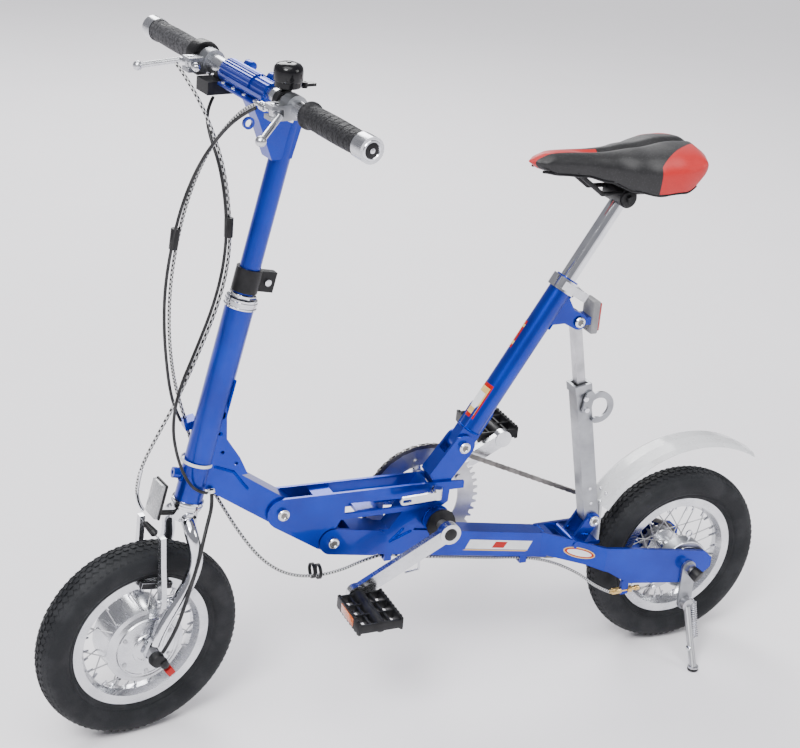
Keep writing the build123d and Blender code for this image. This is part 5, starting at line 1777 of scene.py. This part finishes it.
@dataclass
class Cables:
    """The control cables, each along its own route, and their ties."""

    radius: float = 2.5

    def build(self) -> None:
        """Lay every cable."""
        front = BENCH.cord("front_brake_housing", [
            (-868, 96, 993), (-860, 72, 979), (-838, 42, 932), (-820, 20, 870), (-811, 12, 800),
            (-811, 9, 738), (-826, 2, 678),
            (-853, -4, 612), (-882, -8, 547), (-909, 0, 487), (-929, 10, 436), (-937, 11, 400),
            (-931, 22, 369), (-922, 27, 353),
        ], self.radius, HOUSING)
        BENCH.hand_over(front, "steering", ("front_brake_cable",))
        self.make_crossing("rear_brake_housing_bars", "rear_brake_cable_bars", [
            (-815, -98, 986), (-822, -70, 975), (-839, -38, 940), (-857, -10, 893), (-874, 3, 835),
            (-887, 7, 772),
            (-895, 7, 708), (-896, 6, 648), (-890, 10, 592), (-878, 20, 540), (-862, 30, 494),
        ])
        self.make_crossing("rear_brake_housing_fold", "rear_brake_cable_fold", [
            (-858, 31, 480), (-849, 31, 445), (-832, 27, 400), (-806, 15, 352), (-778, 3, 303),
            (-745, -2, 258),
            (-705, -3, 227), (-660, -5, 217), (-615, -8, 223), (-580, -9, 236), (-550, -9, 241),
        ])
        beam = BENCH.cord("rear_brake_housing_beam", [
            (-532, -9, 238.5), (-475, -9, 226), (-418, -9, 217), (-362, -9, 206.5), (-298, -9, 198.3),
            (-245, -13, 185),
            (-200, -32, 166), (-170, -48, 142), (-148, -53, 133.2),
        ], self.radius, HOUSING)
        BENCH.hand_over(beam, "rear_frame", ("rear_brake_cable_beam",))
        self.make_wires()
        self.make_ties()

    def make_wires(self) -> None:
        """Lay the throttle's, brake switches' and motor's wires beside the housings."""
        for name, route, length in (
            ("throttle_wire", [
                (-818, 84, 948), (-834, 62, 936), (-838, 36, 912), (-826, 14, 868), (-818, 4, 800),
                (-820, 2, 738), (-835, -4, 678),
                (-862, -10, 612), (-886, -14, 556), (-895, -20, 505), (-889, -26, 462), (-876, -29, 425),
                (-858, -29, 402),
                (-842, -24, 396),
            ], 0.62),
            ("switch_wire", [
                (-818, -92, 978), (-830, -66, 962), (-848, -38, 928), (-866, -12, 882), (-884, -2, 826),
                (-896, 1, 768),
                (-904, 2, 706), (-904, 2, 648), (-898, 6, 592), (-888, 16, 540), (-876, 24, 506),
                (-868, 28, 490),
            ], 0.56),
        ):
            self.make_lead(name, route, 2.3)
        route = [
            (-834, -20, 399), (-833, -25, 377), (-843, -35, 351), (-854, -50, 328), (-860, -56, 307),
            (-879, -62, 246), (-897, -66, 193),
            (-916, -71, 168),
        ]
        self.make_lead("motor_cable", route, 2.8)

    def make_lead(
        self, name: str, route: list[tuple[float, float, float]], radius: float,
    ) -> None:
        """Lay a wire that stands for no CAD node and rides on no body.

        Args:
            name: The wire's name.
            route: Its points in millimetres.
            radius: Half of its thickness.
        """
        wire, path = BENCH.meshed(BENCH.cord(name, route, radius, WIRE))
        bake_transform(wire)
        BENCH.note(wire, ())

    def make_crossing(
        self, name: str, node: str, route: list[tuple[float, float, float]],
    ) -> None:
        """Lay a cable that rides on no body.

        Args:
            name: The cable's name.
            node: The CAD node that it stands for.
            route: Its points in millimetres.
        """
        cord, path = BENCH.meshed(BENCH.cord(name, route, self.radius, HOUSING))
        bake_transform(cord)
        BENCH.note(cord, (node,))

    def make_ties(self) -> None:
        """Add the noodle pipe, the tie rings and the taped spots."""
        pipe = BENCH.cord(
            "noodle_pipe", [(-930, 10, 428), (-936, 11, 400), (-931, 22, 369), (-922, 27, 354)], 3.0, CHROME,
        )
        BENCH.hand_over(pipe, "steering")
        bm = bmesh.new()
        for place, axis, radius in (
            (head(60.0, 2.0), HEAD_UP, 23.0),
            (Vector((-834.5, -21.0, 396.5)), Vector((0.1, -0.2, -1.0)), 4.2),
        ):
            BENCH.lathe(
                bm, [(radius, -2.2), (radius + 1.3, -2.2), (radius + 1.3, 2.2), (radius, 2.2)], place, axis,
                40, closed=True,
            )
        BENCH.add("cable_tie", bm, WHITE, "front_frame", Slot.GUARD)
        bm = bmesh.new()
        for low, high in (
            (Vector((-814.0, 8.0, 800.0)), Vector((-814.5, 6.0, 772.0))),
            (Vector((-890.0, 4.0, 790.0)), Vector((-893.0, 4.5, 760.0))),
        ):
            BENCH.rod(bm, low, high, 6.6, 6.2, sides=20, soft=1.2)
        BENCH.add("cable_tape", bm, PLASTIC, "steering", Slot.PLASTIC)
        bm = bmesh.new()
        for x, z in ((-662.0, 222.0), (-652.0, 219.0)):
            BENCH.lathe(
                bm, [(11.0, -2.6), (12.2, -2.6), (12.2, 2.6), (11.0, 2.6)], Vector((x, -4.0, z + 6.0)), X, 32,
                closed=True,
            )
        BENCH.add("cable_straps", bm, PLASTIC, "front_frame", Slot.PLASTIC)


@dataclass
class Studio:
    """A pale floor, soft lights and the camera."""

    camera_place: Vector = field(default_factory=lambda: Vector((-1490.17, -2001.48, 1483.70)))
    azimuth: float = math.radians(-25.4)
    elevation: float = math.radians(23.0)
    roll: float = math.radians(4.9)
    lens: float = 72.6

    def build(self) -> None:
        """Make the floor, lights and camera."""
        self.make_floor()
        self.make_lights()
        self.make_camera()

    def make_floor(self) -> None:
        """Lay the floor."""
        bm = bmesh.new()
        bmesh.ops.create_grid(bm, x_segments=1, y_segments=1, size=20.0)
        mesh = bpy.data.meshes.new("floor")
        bm.to_mesh(mesh)
        bm.free()
        floor = bpy.data.objects.new("floor", mesh)
        bpy.context.scene.collection.objects.link(floor)
        g = Graph("floor_paper")
        g.colour(g.mix(g.noise(3.0), (0.90, 0.88, 0.91), (0.93, 0.91, 0.94)))
        g.rough(g.spread(g.noise(30.0), 0.7, 0.8))
        mesh.materials.append(g.material)

    def make_lights(self) -> None:
        """Hang a large key, a fill, a rim light and a pale sky."""
        for name, place, size, power in (
            ("key", (-2.4, -2.2, 3.6), 1.4, 170.0), ("fill", (3.0, -2.4, 2.4), 1.6, 55.0),
            ("rim", (0.6, 3.6, 3.2), 2.2, 150.0),
        ):
            light = bpy.data.lights.new(name, "AREA")
            light.size = size
            light.energy = power
            lamp = bpy.data.objects.new(name, light)
            bpy.context.scene.collection.objects.link(lamp)
            lamp.location = place
            lamp.rotation_euler = (
                Vector((0.0, 0.0, 0.5)) - Vector(place)
            ).to_track_quat("-Z", "Y").to_euler()
        sun = bpy.data.lights.new("overhead", "SUN")
        sun.energy = 2.7
        sun.angle = math.radians(50.0)
        lamp = bpy.data.objects.new("overhead", sun)
        bpy.context.scene.collection.objects.link(lamp)
        lamp.rotation_euler = (math.radians(14.0), math.radians(-12.0), 0.0)
        world = bpy.data.worlds.new("studio")
        world.use_nodes = True
        world.node_tree.nodes["Background"].inputs["Color"].default_value = (0.86, 0.86, 0.92, 1.0)
        world.node_tree.nodes["Background"].inputs["Strength"].default_value = 0.40
        bpy.context.scene.world = world

    def make_camera(self) -> None:
        """Place the camera."""
        level = math.cos(self.elevation)
        forward = Vector(
            (-math.sin(self.azimuth) * level, math.cos(self.azimuth) * level, -math.sin(self.elevation)),
        )
        right = forward.cross(Z).normalized()
        up = right.cross(forward)
        right, up = right * math.cos(
            self.roll,
        ) + up * math.sin(self.roll), up * math.cos(self.roll) - right * math.sin(self.roll)
        data = bpy.data.cameras.new("camera")
        data.lens = self.lens
        data.sensor_width = 36.0
        camera = bpy.data.objects.new("camera", data)
        bpy.context.scene.collection.objects.link(camera)
        matrix = Matrix((right, up, -forward)).transposed().to_4x4()
        matrix.translation = metres(self.camera_place)
        camera.matrix_world = matrix
        bpy.context.scene.camera = camera


def main() -> None:
    """Build every sub-assembly."""
    logging.basicConfig(level=logging.INFO, format="%(name)s: %(message)s")
    BENCH.dress_cad()
    for wheel in (
        Wheel("front", FRONT_AXLE, "front_wheel", True), Wheel("rear", REAR_AXLE, "rear_wheel", False),
    ):
        wheel.build()
    for assembly in (HubMotor(), Drive(), Saddle(), Cockpit(), FrontBrake(), FrameTrim(), Cables(), Studio()):
        assembly.build()
        LOG.info("finished %s", type(assembly).__name__)


if __name__ == "__main__":
    main()
